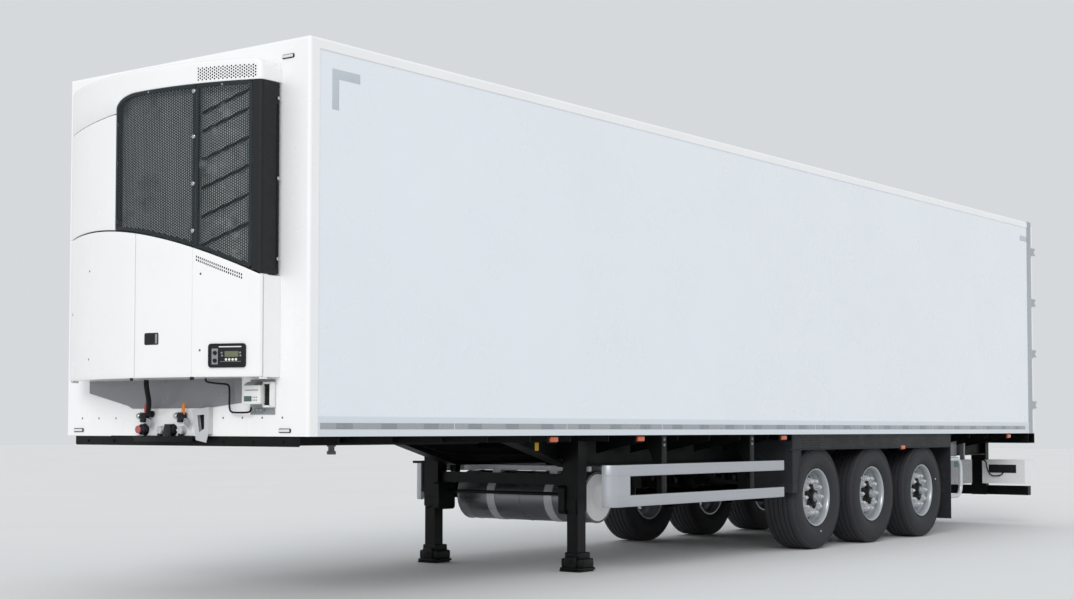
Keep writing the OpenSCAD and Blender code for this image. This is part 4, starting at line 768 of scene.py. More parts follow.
def make_grille(fin):
    """Two perforated sheets that meet at an upright seam, their borders, the plain dark side, and what
    lies behind the holes"""
    path = unit_path(GRILLE_SIDE + 6 * MM, 0, 30 * MM, side1=FRONT + 24 * MM)
    place, s = skin_place(path)
    places = (GRILLE_SIDE + 6 * MM, GRILLE_SEAM, GRILLE_CORNER)
    start, seam, corner = [length_at(path, y) for y in places]
    gap, edge, margin = 3 * MM, 24 * MM, 13 * MM
    look = bpy.context.scene.trailer_look

    def y_of(u):
        """Y of the skin at a length along it"""
        return np.interp(u, s, path[0][:, 1])

    def under(u):
        """Height of the sheets' lower edge"""
        return door_line(y_of(u)) + 4 * MM

    def over(u):
        """Height of the sheets' upper edge"""
        return hood_low(np.maximum(y_of(u), GRILLE_SIDE + 2 * MM)) - 6 * MM

    def between(u, rows, inset=0.0):
        """Heights from the lower to the upper edge, in even steps"""
        low_z, high_z = (under(u) + inset)[:, None], (over(u) - inset)[:, None]
        share = np.linspace(0, 1, rows)
        return low_z * (1 - share) + high_z * share

    # the right sheet carries the painted sheen
    sheets = ((1, start, seam - gap, "mesh"), (2, seam + gap, corner, "mesh_painted_sheen"))
    for k, s0, s1, kind in sheets:
        def inside(u, z, grow=margin):
            """Whether a place lies on this sheet, grow or more from its edges"""
            return (u > s0 + grow) & (u < s1 - grow) & (z > under(u) + grow) & (z < over(u) - grow)

        sheet = perforated(lambda u, z, d: place(u, z, d + 2.5 * MM), s0, s1, 2.3, 3.66, look.hole_pitch,
                           look.hole_size / 2, 1.5 * MM, inside, lambda u, z: inside(u, z, edge))
        put(f"grille_sheet_{k}", sheet, fin[kind], stands_for=["reefer_grille"])
        u = np.linspace(s0, s1, 48)
        turn_end = s0 + (s1 - s0) * 0.3
        bend = np.concatenate([s0 + (s1 - s0) * 0.3 * np.linspace(0, 1, 24)**2, u[u > turn_end]])
        outline = np.concatenate([np.column_stack([u, under(u)]), np.column_stack([bend, over(bend)])[::-1]])
        put(f"grille_border_{k}", banded(place, outline, edge - 2 * MM, 0.0, 6 * MM), fin["mesh"])
    # the plain side strip, folded round the corner and back to the wall
    u = np.linspace(corner + gap, s[-1], 40)
    z = between(u, 30)
    grid = [place(np.repeat(u[:, None], 30, 1), z, d) for d in (0.0, 14 * MM)]
    put("grille_side", thick(*grid), fin["nylon"])
    side_x = FRONT + 40 * MM
    rib = [[side_x, UNIT_HALF + 1 * MM, z] for z in (2.36, 2.9, 3.5)]
    put("grille_side_rib", swept(circle(7 * MM, 10), rib, up=(1, 0, 0)), fin["rubber"])
    heads = [moved(screw(12 * MM), (side_x, UNIT_HALF + 8 * MM, z), **ALONG_Y) for z in (2.42, 2.98, 3.54)]
    put("grille_side_screws", joined(heads), fin["chrome"])
    screws = [on_unit(screw(14 * MM), GRILLE_SEAM - 19 * MM, z, -1 * MM) for z in (2.62, 2.95, 3.28, 3.6)]
    screws += [on_unit(screw(8 * MM), y, 3.632, -2 * MM) for y in (0.12, 0.75)]
    put("grille_screws", joined(screws), fin["chrome"])
    hooks = []
    for z in (2.75, 3.17, 3.45):
        x = on_skin(-0.222, z)["origin"][0]
        line = [x, -0.226, z] + mm([[-6, 0, 0], [1.5, 4, 0], [2, 14, -10], [1, 18, -26], [-6, 18, -32]])
        hooks.append(swept(circle(3.5 * MM, 8), spline(line, 4), up=(0, 1, 0.1)))
    put("grille_hooks", joined(hooks), fin["steel"])
    # the coil's face behind the left sheet and the shroud behind the right one, in upright waves; their
    # near-white patches are painted sunlight and their dark flecks painted shadow
    for name, s0, s1, depth, kind in (("condenser_face", start + 2 * margin, seam - gap, 45, "coil"),
                                      ("fan_space", seam + gap, corner - margin, 60, "shroud")):
        u = np.arange(s0, s1, 10 * MM)
        z = between(u, 8, margin)
        wave = (depth * MM + 3 * MM * np.cos(u * 2 * np.pi / (62 * MM)))[:, None]
        uu = np.repeat(u[:, None], 8, 1)
        put(name, thick(place(uu, z, wave), place(uu, z, wave + 2 * MM)), fin[kind])
    brace_0, brace_1, deep = seam + 30 * MM, corner - 25 * MM, 42 * MM
    braces = [bar(place(brace_0, z, deep), place(brace_1, z + 0.15, deep), 20 * MM, 5 * MM)
              for z in (2.52, 2.72, 2.92, 3.12, 3.32, 3.45)]
    put("fan_braces", joined(braces), fin["black"])


def screw(r):
    """A flat round screw head with a socket"""
    top, floor = 2.6 * MM, 1.2 * MM
    return turned([[0, floor], [0.4 * r, floor], [0.45 * r, top], [0.86 * r, top], [r, floor], [r, -1 * MM],
                   [0, -1 * MM]], 20)


def bar(a, b, width, thickness):
    """A flat bar between two points, its broad face towards X"""
    return swept(round_rect(width, thickness, 1.5 * MM, 2), np.linspace(a, b, 3), up=(1, 0, 0))


# The unit's doors: sign of y, name, places of the pressed seams, and places of the screws
UNIT_DOORS = ((1, "left", (0.535,), ((0.599, 2.317), (0.598, 1.786))),
              (-1, "right", (-0.578, -0.93), ((-0.6, 2.4), (-0.6, 1.75), (-0.95, 2.1))))


def make_unit_doors(fin):
    """The two front doors with their pressed seams, the vents, the latch and the screws"""
    back = float(low("reefer_door_left")[0]) + 1 * MM
    for sign, side, grooves, places in UNIT_DOORS:
        ends = dict(side1=back) if sign > 0 else dict(side0=back)
        path = unit_path(sign * 4 * MM, sign * 4 * MM, 30 * MM, **ends)
        part = unit_panel(path, lambda y: UNIT_LOW + 0 * y, lambda y: door_line(y) - 9 * MM, wall=22 * MM,
                          edge=6 * MM, grooves=grooves)
        body = f"unit_door_{side}"
        put(f"unit_door_skin_{side}", part, fin["cover"], body, [f"reefer_door_{side}"])
        screws = [on_unit(screw(8 * MM), y, z, -1 * MM) for y, z in places]
        put(f"unit_door_screws_{side}", joined(screws), fin["steel"], body)
        catches = [box((FRONT + 395 * MM, sign * 5 * MM, z), (FRONT + 427 * MM, sign * 30 * MM, z + 90 * MM),
                       4 * MM) for z in (1.7, 2.1, 2.5)]
        put(f"unit_door_catches_{side}", joined(catches), fin["nylon"], body)
    # two rows of small vents that follow the sloping line over the door: each a flat dark pad, its dark
    # colour painted shade for the opening
    vent = slab(round_rect(9 * MM, 15 * MM, 2 * MM, 1), -1 * MM, 0.6 * MM, 0.4 * MM, 1, False)
    holes = [on_unit(vent, 0.566 + 0.334 * t, 2.438 - 0.134 * t - drop)
             for t in np.linspace(0, 1, 23) for drop in (0, 23 * MM)]
    put("unit_door_vents", joined(holes), fin["engine"], body="unit_door_left")
    place = on_skin(0.176, 1.8745)
    well = round_rect(96 * MM, 52 * MM, 8 * MM) - [12 * MM, 0]
    latch = joined([moved(slab(round_rect(137 * MM, 85 * MM, 12 * MM), -1 * MM, 0.8 * MM, 0.5 * MM), **place),
                    moved(slab(well, 0.4 * MM, 1.8 * MM, 0.6 * MM), **place)])
    put("unit_door_latch", latch, fin["nylon"], body="unit_door_left")
    grip = slab(round_rect(20 * MM, 70 * MM, 6 * MM) + [50 * MM, 0], 0.4 * MM, 5 * MM, 1.5 * MM)
    put("unit_door_latch_bar", moved(grip, **place), fin["grey"], body="unit_door_left")
    tab = slab(round_rect(34 * MM, 22 * MM, 5 * MM), -8 * MM, -1 * MM, 2 * MM)
    for y, side in ((-0.03, "right"), (0.535, "left")):
        clip = [on_unit(tab, y, UNIT_LOW - 8 * MM), on_unit(screw(6 * MM), y, UNIT_LOW - 8 * MM, -3 * MM)]
        put(f"unit_door_clip_{side}", joined(clip), fin["nylon"], body=f"unit_door_{side}")


def make_controller(fin):
    """The unit's controller: a bezel, two plates, a screen, a row of buttons and two knobs; places and
    widths are shares of the bezel's, and heights are millimetres"""
    w, h = 285 * MM, 166 * MM
    place = on_skin(0.804, 1.747, -3 * MM)

    def on(part, u, v):
        """A part set at the shares u and v of the bezel's width and height"""
        spot = place["origin"] + place["x"] * u * w + np.array(place["y"]) * v * h
        return moved(part, spot, place["x"], place["y"], place["z"])

    def pad(u, v, wide, tall, z0, z1, r=3 * MM):
        """A rounded plate from z0 to z1 about a place on the bezel"""
        return on(slab(round_rect(wide * w, tall * h, r), z0 * MM, z1 * MM, 1 * MM), u, v)

    def piece(name, parts, finish):
        """Makes a piece of the controller, which rides on the left door"""
        put(f"controller_{name}", joined(parts), finish, body="unit_door_left")

    ring = round_rect(w, h, 22 * MM, 6)
    case = stacked([(ring, 0), (ring, 11 * MM), (shrunk(ring, 1 * MM), 13 * MM),
                    (shrunk(ring, 9 * MM), 13 * MM), (shrunk(ring, 11 * MM), 10 * MM)])
    piece("bezel", [on(case, 0, 0)], fin["nylon"])
    piece("knob_plate", [pad(-0.3175, -0.04, 0.165, 0.66, 9, 12.5)], fin["grey"])
    piece("display_plate", [pad(0.105, -0.03, 0.61, 0.66, 9, 13)], fin["engine"])
    piece("strip", [pad(0.09, 0.36, 0.60, 0.045, 9, 12.5, 2 * MM)], fin["white_abs"])
    piece("screen", [pad(0.133, 0.056, 0.367, 0.24, 12, 14)], fin["screen"])
    piece("line", [pad(0.105, -0.25, 0.55, 0.016, 12, 13.6, 1 * MM)], fin["chrome"])
    piece("side_buttons", [pad(u, v, 0.05, 0.07, 12, 15) for u, v in
                           ((-0.13, 0.113), (-0.117, -0.008), (0.362, 0.113), (0.372, -0.008))], fin["grey"])
    piece("buttons", [pad(u, -0.17, 0.06, 0.105, 12, 16, 7 * MM) for u in (-0.01, 0.077, 0.168, 0.255)],
          fin["white_abs"])
    knob = turned(mm([[0, 28], [11, 28], [13, 25], [14, 12], [0, 12]]), 24)
    piece("knobs", [on(knob, -0.306, v) for v in (0.11, -0.21)], fin["nylon"])


# ------------------------------------------------------ the front wall

# Where the hose enters the service panel: y and z
HOSE_GLAND = (-0.290, 1.351)
SOCKET_Z = 1.232
SMALL_SOCKETS = (-0.172, 0.053)
AIR_HEADS = ((1, -0.397, "red"), (2, 0.013, "orange"))
AIR_Z = 1.335


def on_front(part, y=0, z=0, out=0.0):
    """A surface drawn about Z, set on the front wall at y and z"""
    return moved(part, (FRONT + out, y, z), **ALONG_X)


def wall_pad(y, z, size, r, x0, x1, edge, k=4, n=3):
    """A rounded plate on the front wall about y and z; its depths x0 and x1, its corner radius r and its
    edge radius are millimetres"""
    outline = round_rect(*size, r * MM, k) + np.array([y, z])
    return on_front(slab(outline, x0 * MM, x1 * MM, edge * MM, n))


def wall_box(x, y, z, r):
    """A block on the front wall over the spans x, y and z; x and r are millimetres"""
    return box((FRONT + x[0] * MM, y[0], z[0]), (FRONT + x[1] * MM, y[1], z[1]), r * MM)


def make_front_panel(fin):
    """The white service panel, the black shelf, the folded bracket and the apron under the unit"""
    panel = np.array([[-.495, 1.192], [.156, 1.192], [.146, 1.39], [-.515, 1.39]])
    put("panel_sheet", on_front(slab(panel, 0.2 * MM, 4 * MM, 1 * MM)), fin["wall"],
        stands_for=["service_panel"])
    shelf = np.array([[0, -.472], [.060, -.436], [.068, -.42], [.068, .187], [.060, .205], [0, .229]])
    lip = np.array([[.061, -.43], [.068, -.42], [.068, .187], [.061, .2]])
    parts = [moved(slab(o, z0, z1, 2 * MM), (FRONT, 0, 0)) for o, z0, z1 in ((shelf, 1.172, 1.187),
                                                                            (lip, 1.148, 1.174))]
    put("panel_shelf", joined(parts), fin["black"])
    outer = np.array([[.225, 1.161], [.332, 1.143], [.353, 1.205], [.354, 1.398], [.183, 1.377]])
    hole = np.array([[.259, 1.218], [.286, 1.231], [.312, 1.243], [.311, 1.344], [.238, 1.34]])
    fold, soft, face = 41 * MM, 44.4 * MM, 45 * MM
    plate = stacked([(outer, fold), (outer, soft), (shrunk(outer, 0.6 * MM), face),
                     (shrunk(hole, -0.6 * MM), face), (hole, soft), (hole, fold)], closed=True)
    parts = [on_front(plate)]
    for a, b in ((0, 4), (2, 3)):
        path = np.column_stack([np.full(3, FRONT + 22 * MM), np.linspace(outer[a], outer[b], 3)])
        parts.append(swept(round_rect(2.5 * MM, 43 * MM, 1 * MM, 1), path, up=(1, 0, 0)))
    for y, z in ((.205, 1.37), (.335, 1.385), (.245, 1.175), (.335, 1.165)):
        parts.append(on_front(screw(6 * MM), y, z, 44 * MM))
    put("panel_bracket", joined(parts), fin["sheet"])
    put("bracket_back", on_front(slab(shrunk(hole, -14 * MM), 0.3 * MM, 6 * MM, 2 * MM)), fin["engine"])
    apron = np.array([[-1.022, 1.51], [-.576, 1.413], [-.519, 1.3905], [.30, 1.3905], [.649, 1.426],
                      [.649, 1.5995], [-1.024, 1.5995]])
    put("unit_apron", on_front(slab(apron, 0.2 * MM, 3.6 * MM, 1 * MM)), fin["apron"])


def make_couplings(fin):
    """Electric sockets, the two air couplings with their levers, and the gland of the hose"""
    body = turned(mm([[0, 60], [26, 60], [30, 56], [32, 46], [40, 42], [40, 34], [36, 30], [36, 9], [46, 7],
                      [46, 4.2], [0, 4.2]]), 40)
    lid = slab(round_rect(74 * MM, 74 * MM, 16 * MM), 58 * MM, 66 * MM, 3 * MM)
    big = [on_front(body, -.372, SOCKET_Z + 4 * MM), on_front(body, -.062, SOCKET_Z),
           on_front(lid, -.062, SOCKET_Z - 4 * MM), wall_box((34, 66), (-.092, -.032), (1.262, 1.276), 4),
           wall_box((24, 60), (-.352, -.318), (1.222, 1.262), 5)]
    big += [wall_box((20, 52), (y - 13 * MM, y + 13 * MM), (1.186, 1.208), 3) for y in SMALL_SOCKETS]
    put("sockets", joined(big), fin["nylon"], stands_for=["couplings"])
    face = turned(mm([[0, 64], [15, 64], [17, 66], [28, 66], [30, 62], [30, 58], [0, 58]]), 32)
    put("socket_face", on_front(face, -.386, SOCKET_Z + 4 * MM), fin["pink"])
    small = turned(mm([[0, 42], [12, 42], [15, 48], [25, 48], [28, 44], [28, 12], [34, 9], [34, 4.2],
                       [0, 4.2]]), 32)
    star = [on_front(small, y, SOCKET_Z) for y in SMALL_SOCKETS]
    lug = slab(round_rect(13 * MM, 13 * MM, 4 * MM), 30 * MM, 50 * MM, 2 * MM)
    star += [on_front(lug, y + 26 * MM * math.cos(a), SOCKET_Z + 26 * MM * math.sin(a))
             for y in SMALL_SOCKETS for a in np.arange(6) * math.pi / 3]
    put("small_sockets", joined(star), fin["sheet"])
    hub = turned(mm([[0, 62], [15, 62], [19, 58], [20, 42], [27, 40], [28, 36], [28, 26], [22, 24], [22, 5],
                     [0, 5]]), 36)
    for k, y, lever in AIR_HEADS:
        z = AIR_Z
        put(f"air_head_{k}", on_front(hub, y, z), fin["chrome"])
        dark = [wall_box((14, 58), (y + 22 * MM, y + 84 * MM), (z - 30 * MM, z + 26 * MM), 10),
                wall_box((4.4, 26), (y - 14 * MM, y + 34 * MM), (z - 46 * MM, z - 12 * MM), 4),
                on_front(bolt(7 * MM, 8 * MM), y + 52 * MM, z, 57 * MM)]
        put(f"air_body_{k}", joined(dark), fin["nylon"])
        line = [FRONT, y, z] + mm([[42, 78, 14], [52, 84, 42], [58, 93, 68], [60, 104, 92]])
        grip = swept(round_rect(26 * MM, 12 * MM, 4 * MM), spline(line, 6), up=(1, 0, 0))
        put(f"air_lever_{k}", grip, fin[lever])
        flag = [y, z] + mm([[88, -13], [95, -62], [135, -88], [158, -31]])
        plate = [on_front(slab(flag, 46 * MM, 50 * MM, 1 * MM)),
                 wall_box((4, 49), (y + 88 * MM, y + 93 * MM), (z - 58 * MM, z - 16 * MM), 1)]
        put(f"air_guard_{k}", joined(plate), fin["zinc"])
    nut = turned(mm([[0, 22], [20, 22], [24, 18], [24, 5], [0, 5]]), 32)
    put("hose_gland", on_front(nut, *HOSE_GLAND), fin["nylon"])


def make_recorder(fin):
    """The temperature recorder: a back plate, a white box with a sloping top, its screen and keys, and the
    ribbed module beside it"""
    plate = wall_pad(.863, 1.465, (.244, .246), 6, 0.2, 6, 1.5)
    put("recorder_plate", plate, fin["zinc"], stands_for=["data_recorder"])
    case = wall_pad(.8375, 1.48, (.165, .132), 12, 6, 86, 6, 5, 4)
    put("recorder_case", case, fin["white_abs"])
    top = np.array([[.006, 1.545], [.084, 1.545], [.078, 1.556], [.048, 1.571], [.006, 1.571]])
    crest = stacked([(top, y) for y in np.linspace(.759, .858, 3)])
    put("recorder_top", moved(crest, (FRONT, 0, 0), y=(0, 0, 1), z=(0, 1, 0)), fin["grey"])
    put("recorder_screen", wall_pad(.80, 1.452, (.076, .038), 4, 85, 87.6, 1), fin["dark_screen"])
    keys = [wall_pad(.853 + 17 * MM * column, 1.462 - 20 * MM * row, (.011, .009), 3, 85, 88, 1.2)
            for row in range(2) for column in range(3)]
    keys.append(wall_pad(.838, 1.512, (.13, .007), 2, 85, 87.5, 1))
    put("recorder_keys", joined(keys), fin["grey"])
    ring = round_rect(.088, .178, 8 * MM) + np.array([.946, 1.48])
    hole = shrunk(ring, 15 * MM)
    rim = stacked([(ring, 6 * MM), (ring, 44 * MM), (shrunk(ring, 3 * MM), 48 * MM),
                   (shrunk(hole, -2 * MM), 48 * MM), (hole, 45 * MM), (hole, 6 * MM)], closed=True)
    put("recorder_module", on_front(rim), fin["white_abs"])
    ribs = [wall_pad(.946, 1.408 + 12 * MM * k, (.060, .007), 2, 6, 42, 2, 2) for k in range(13)]
    ribs.append(on_front(slab(shrunk(hole, -2 * MM), 6 * MM, 34 * MM, 1 * MM)))
    put("recorder_ribs", joined(ribs), fin["nylon"])
    port = turned(mm([[0, 30], [8, 30], [10, 27], [10, 6], [13, 5], [13, 0], [0, 0]]), 24)
    ports = [on_front(port, y, 1.372, 6 * MM) for y in (.80, .835, .87)]
    put("recorder_ports", joined(ports), fin["grey"])


def make_front_fittings(fin):
    """Rivets along the lower edge, marker lamps in their rubber mounts, and the neck plate under the wall"""
    head = turned(mm([[0, 2.6], [4, 2], [7, 0.8], [8, 0], [0, 0]]), 18)
    rivets = [on_front(head, y, 1.32) for y in (-1.108, -.911, -.712, .46, .657, .856, 1.054)]
    put("front_rivets", joined(rivets), fin["steel"])
    lamps = ((-1.147, 1.23), (1.081, 1.23), (-1.091, 3.835), (1.091, 3.835))
    mounts = [wall_pad(y, z, (.116, .030), 9, 0.2, 6, 2) for y, z in lamps]
    lenses = [wall_pad(y, z, (.100, .019), 6, 5, 14, 4, n=4) for y, z in lamps]
    put("front_lamp_mounts", joined(mounts), fin["rubber"])
    put("front_lamp_lenses", joined(lenses), fin["clear"])
    outline = np.array([[-1.2, 1.128], [-1.19, 1.118], [1.19, 1.118], [1.2, 1.128], [1.2, 1.186],
                        [-1.2, 1.186]])
    neck = on_front(slab(outline, -30 * MM, -12 * MM, 2 * MM))
    heads = [on_front(bolt(9 * MM, 8 * MM), y, 1.15, -12.5 * MM) for y in np.arange(-1.05, 1.06, 0.3)]
    put("neck_plate", joined([neck] + heads), fin["chassis"])


# ------------------------------------------------------ the body's sides

# Side marker lamps: how far behind the front each is, and how far below the rail it hangs
MARKERS = ((2.906, 0), (4.204, 0), (6.812, 0), (9.626, 118 * MM), (12.774, 0))


# The tape: where its first length starts, the step between two, and one length
TAPE_START = 0.12
TAPE_STEP = 1.46
TAPE_LENGTH = 1.452


def make_tape(fin):
    """Reflective tape along the base rail, the blank places of its print, and corner marks on the panels"""
    y = HALF - 2 * MM
    face = float(high("side_wall_left")[1])

    def strip(d0, d1, z0, z1, proud):
        """A length of tape on the rail, proud metres thick"""
        return box((at(d1), y - 0.2 * MM, z0), (at(d0), y + proud, z1), 0.3 * MM)

    def mark(d0, d1, z0, z1):
        """A bar of a corner mark on the side wall"""
        return box((at(d1), face - 0.2 * MM, z0), (at(d0), face + 0.6 * MM, z1), 0.4 * MM)

    starts = TAPE_START + TAPE_STEP * np.arange(9)
    tape = [strip(d, d + TAPE_LENGTH, 1.240, 1.284, 0.5 * MM) for d in starts]
    blanks = [strip(d + q, d + q + 0.17, 1.2415, 1.2825, 0.9 * MM) for d in starts for q in (0.16, 0.63, 1.1)]
    marks = []
    for d0, d1, corner in ((0.226, 0.514, 0.226), (13.14, 13.45, 13.38)):
        marks += [mark(d0, d1, 3.693, 3.763), mark(corner, corner + 0.07, 3.475, 3.692)]
    put("tape", both_sides(tape), fin["tape"])
    put("tape_blanks", both_sides(blanks), fin["tape_dark"])
    put("corner_marks", both_sides(marks), fin["mark"])


def make_side_markers(fin):
    """Amber side marker lamps under the base rail, on rubber mounts"""
    lenses, mounts = [], []
    for d, drop in MARKERS:
        # the lamps lean in a little as they hang lower
        y, z = 1.232 - drop / 10, 1.157 - drop
        mounts.append(box((at(d + 0.062), y, z - 31 * MM), (at(d - 0.062), y + 15 * MM, z + 31 * MM), 5 * MM))
        lenses.append(box((at(d + 0.052), y + 14 * MM, z - 21 * MM),
                          (at(d - 0.052), y + 36 * MM, z + 21 * MM), 8 * MM))
    put("side_marker_mounts", both_sides(mounts), fin["rubber"])
    put("side_marker_lenses", both_sides(lenses), fin["amber"])


# ------------------------------------------------------- under the body

GUARD_D0 = FRONT - float(high("side_guards")[0])
GUARD_D1 = FRONT - float(low("side_guards")[0])
GUARD_Y = float(high("side_guards")[1])
GUARD_Z = float(low("side_guards")[2])
GUARD_BEND = 110 * MM
GUARD_BAND = 170 * MM
FAR_BACK = 300 * MM
FAR_BAND = 50 * MM
RAIL_H = 100 * MM
RAIL_GAP = 165 * MM
GUARD_TOP = GUARD_Z + 2 * RAIL_H + RAIL_GAP
LEG_X = float(high("landing_legs")[0] + low("landing_legs")[0]) / 2
LEG_FACE = LEG_X + 65 * MM
LEG_Y = 0.815


def guard_section(height, depth=29):
    """An aluminium profile, depth millimetres deep: a flat face with two fine grooves, and soft lips"""
    h = height / 2 / MM
    face = [[0, 7 - h], [-2.1, 2 - h], [-7, -h], [-depth, -h], [-depth, h], [-7, h], [-2, h - 2], [0, h - 7]]
    for k in (0.5, -0.5):
        face += [[0, k * h + 3], [-1.2, k * h + 1.5], [-1.2, k * h - 1.5], [0, k * h - 3]]
    return mm(face)


def guard_side(d0, band):
    """One side's guard: a rounded band from d0 on, band long behind its bend, and two rails behind it"""
    a = np.linspace(np.pi / 2, 0, 16)
    bend_end = d0 + GUARD_BEND
    plan = np.column_stack([at(bend_end) + GUARD_BEND * np.sin(a), GUARD_Y - GUARD_BEND * (1 - np.cos(a))])
    plan = np.vstack([plan, [[at(bend_end + band), GUARD_Y]]])
    path = np.column_stack([plan, np.full(len(plan), (GUARD_Z + GUARD_TOP) / 2)])
    parts = [swept(guard_section(GUARD_TOP - GUARD_Z), path)]
    ends = np.linspace(at(bend_end + band - 20 * MM), at(GUARD_D1), 3)
    for z in (GUARD_Z + RAIL_H / 2, GUARD_TOP - RAIL_H / 2):
        parts.append(swept(guard_section(RAIL_H), [[x, GUARD_Y - 0.6 * MM, z] for x in ends]))
    return joined(parts)


def make_guards(fin):
    """The side guards, and their hangers with bolts; the far one starts further back"""
    rails = [guard_side(GUARD_D0, GUARD_BAND), mirrored(guard_side(GUARD_D0 + FAR_BACK, FAR_BAND))]
    put("side_guard_rails", joined(rails), fin["guard"], stands_for=["side_guards"])
    y0 = GUARD_Y - 42 * MM
    shape = np.array([[y0 - 38 * MM, GUARD_Z], [y0 - 48 * MM, GUARD_TOP - 60 * MM], [y0 - 178 * MM, BED],
                      [y0, BED], [y0, GUARD_Z]])
    hangers, bolts = [], []
    for share in (0.3, 0.82):
        x = at(GUARD_D0 + share * (GUARD_D1 - GUARD_D0))
        for dx in (0, 72 * MM):
            hangers.append(moved(slab(shape, 0, 8 * MM, 1.5 * MM), (x + dx, 0, 0), **ALONG_X))
        hangers.append(box((x, y0 - 1 * MM, GUARD_Z), (x + 80 * MM, y0 + 11.5 * MM, BED), 2 * MM))
        heights = (GUARD_Z + 30 * MM, GUARD_Z + 70 * MM, GUARD_TOP - 70 * MM, GUARD_TOP - 30 * MM)
        bolts += bolts_at([(x + 40 * MM, y0 - 1 * MM, z) for z in heights], 8, 8, INWARDS)
        heights = (BED - 40 * MM, BED - 90 * MM)
        bolts += bolts_at([(x + 40 * MM, y0 + 11.5 * MM, z) for z in heights], 9, 9, ALONG_Y)
    put("side_guard_hangers", both_sides(hangers), fin["black"])
    put("side_guard_bolts", both_sides(bolts), fin["zinc"])


def make_mudguards(fin):
    """Ribs and beads on the mudguard aprons, and the ribs of the flaps"""
    d0, d1 = FRONT - float(high("mudguards")[0]), FRONT - float(low("mudguards")[0])
    y = float(high("mudguards")[1])
    parts = []
    for z in np.arange(1.045, 1.17, 0.026):
        parts.append(box((at(d1 - 12 * MM), y - 2 * MM, z), (at(d0 + 215 * MM), y + 3 * MM, z + 9 * MM),
                         2.4 * MM))
    for z in np.arange(0.64, 1.17, 0.022):
        wide = 120 * MM + max(z - 0.93, 0) * 0.3
        parts.append(box((at(d0 + wide), y - 2 * MM, z), (at(d0 + 22 * MM), y + 2.5 * MM, z + 6 * MM),
                         2.2 * MM))
    # the bead along the apron's lower edge, down the front flap, and up its front edge
    edge = [[at(d1 - 4 * MM), y, 1.034]]
    edge += [[at(d0 + d * MM), y, z] for d, z in ((215, 1.034), (190, 1.02), (160, 0.86), (134, 0.62),
                                                  (126, 0.606), (8, 0.606))]
    parts.append(swept(circle(6 * MM, 10), spline(edge, 5), up=(0, 1, 0)))
    front = [[at(d0 + 7 * MM), y, z] for z in (0.606, 0.9, 1.18)]
    parts.append(swept(circle(6 * MM, 10), front, up=(0, 1, 0)))
    put("mudguard_ribs", both_sides(parts), fin["mudguard"])
    y0 = float(low("tyre_1_left")[1]) - 28 * MM
    flap = [box((at(d1 + 4 * MM), yk, 0.2), (at(d1 - 1 * MM), yk + 9 * MM, 1.09), 2.2 * MM)
            for yk in np.linspace(y0 + 14 * MM, y - 16 * MM, 14)]
    put("rear_flap_ribs", both_sides(flap), fin["rubber"])


def make_legs(fin):
    """Bolts of the landing legs, and their feet: a sole, a stepped foot, its cheeks, pin and bolts"""
    places = [(LEG_FACE, y, z) for y in (0.725, 0.69) for z in np.arange(0.99, 1.16, 0.045)]
    parts = bolts_at(places, 8, 9)
    parts += bolts_at([(LEG_FACE, 0.775, z) for z in (0.66, 0.78, 0.9)], 7, 8)
    put("leg_bolts", both_sides(parts), fin["zinc"])
    spot = np.array([LEG_X, LEG_Y, 0])
    parts = [moved(slab(round_rect(0.252, 0.252, 0.05, 6), 12 * MM, 34 * MM, 8 * MM), spot),
             moved(slab(round_rect(0.196, 0.236, 0.03, 5), 30 * MM, 0.112, 14 * MM), spot),
             moved(slab(round_rect(0.17, 0.17, 0.02, 5), 0.10, 0.165, 10 * MM), spot)]
    cheek = slab(round_rect(0.034, 0.12, 0.014), 30 * MM, 0.13, 9 * MM)
    for dx in (-0.1, 0.1):
        parts.append(moved(cheek, spot + [dx, 0, 0]))
        parts += [moved(bolt(11 * MM, 14 * MM), spot + [dx * 0.6, dy, 0.108]) for dy in (-0.075, 0.075)]
    pin = turned(mm([[0, 125], [14, 125], [15, 122], [15, -122], [14, -125], [0, -125]]), 24)
    parts.append(moved(pin, spot + [0, 0, 0.082], **ALONG_X))
    for dx in (-0.03, 0.03):
        for s in (-1, 1):
            place = spot + [dx, s * 72 * MM, 0.06]
            parts.append(moved(bolt(9 * MM, 12 * MM), place, y=(0, 0, s), z=(0, s, 0)))
    put("foot_pins", both_sides(parts), fin["black"])


def make_labels(fin):
    """Blank labels: yellow ones at the legs and the beam, a small white one on the near leg, and a green
    one on the equipment box"""
    def leg_label(y, z):
        """A label on a leg's front over the spans y and z"""
        return box((LEG_FACE, y[0], z[0]), (LEG_FACE + 1.2 * MM, y[1], z[1]), 0.5 * MM)

    yellow = [box((at(3.43), .7151, 1.055), (at(3.375), .7165, 1.125), 0.5 * MM),
              leg_label((.858, .878), (.945, 1.01)), leg_label((-.87, -.83), (.735, .77))]
    put("yellow_labels", joined(yellow), fin["yellow"])
    put("white_label", leg_label((.84, .878), (.648, .667)), fin["white_abs"])
    x, y = [float(high("valve_module")[k]) for k in (0, 1)]
    green = box((x - 340 * MM, y - 0.2 * MM, 0.77), (x - 120 * MM, y + 1 * MM, 0.84), 0.4 * MM)
    put("green_label", green, fin["green"])


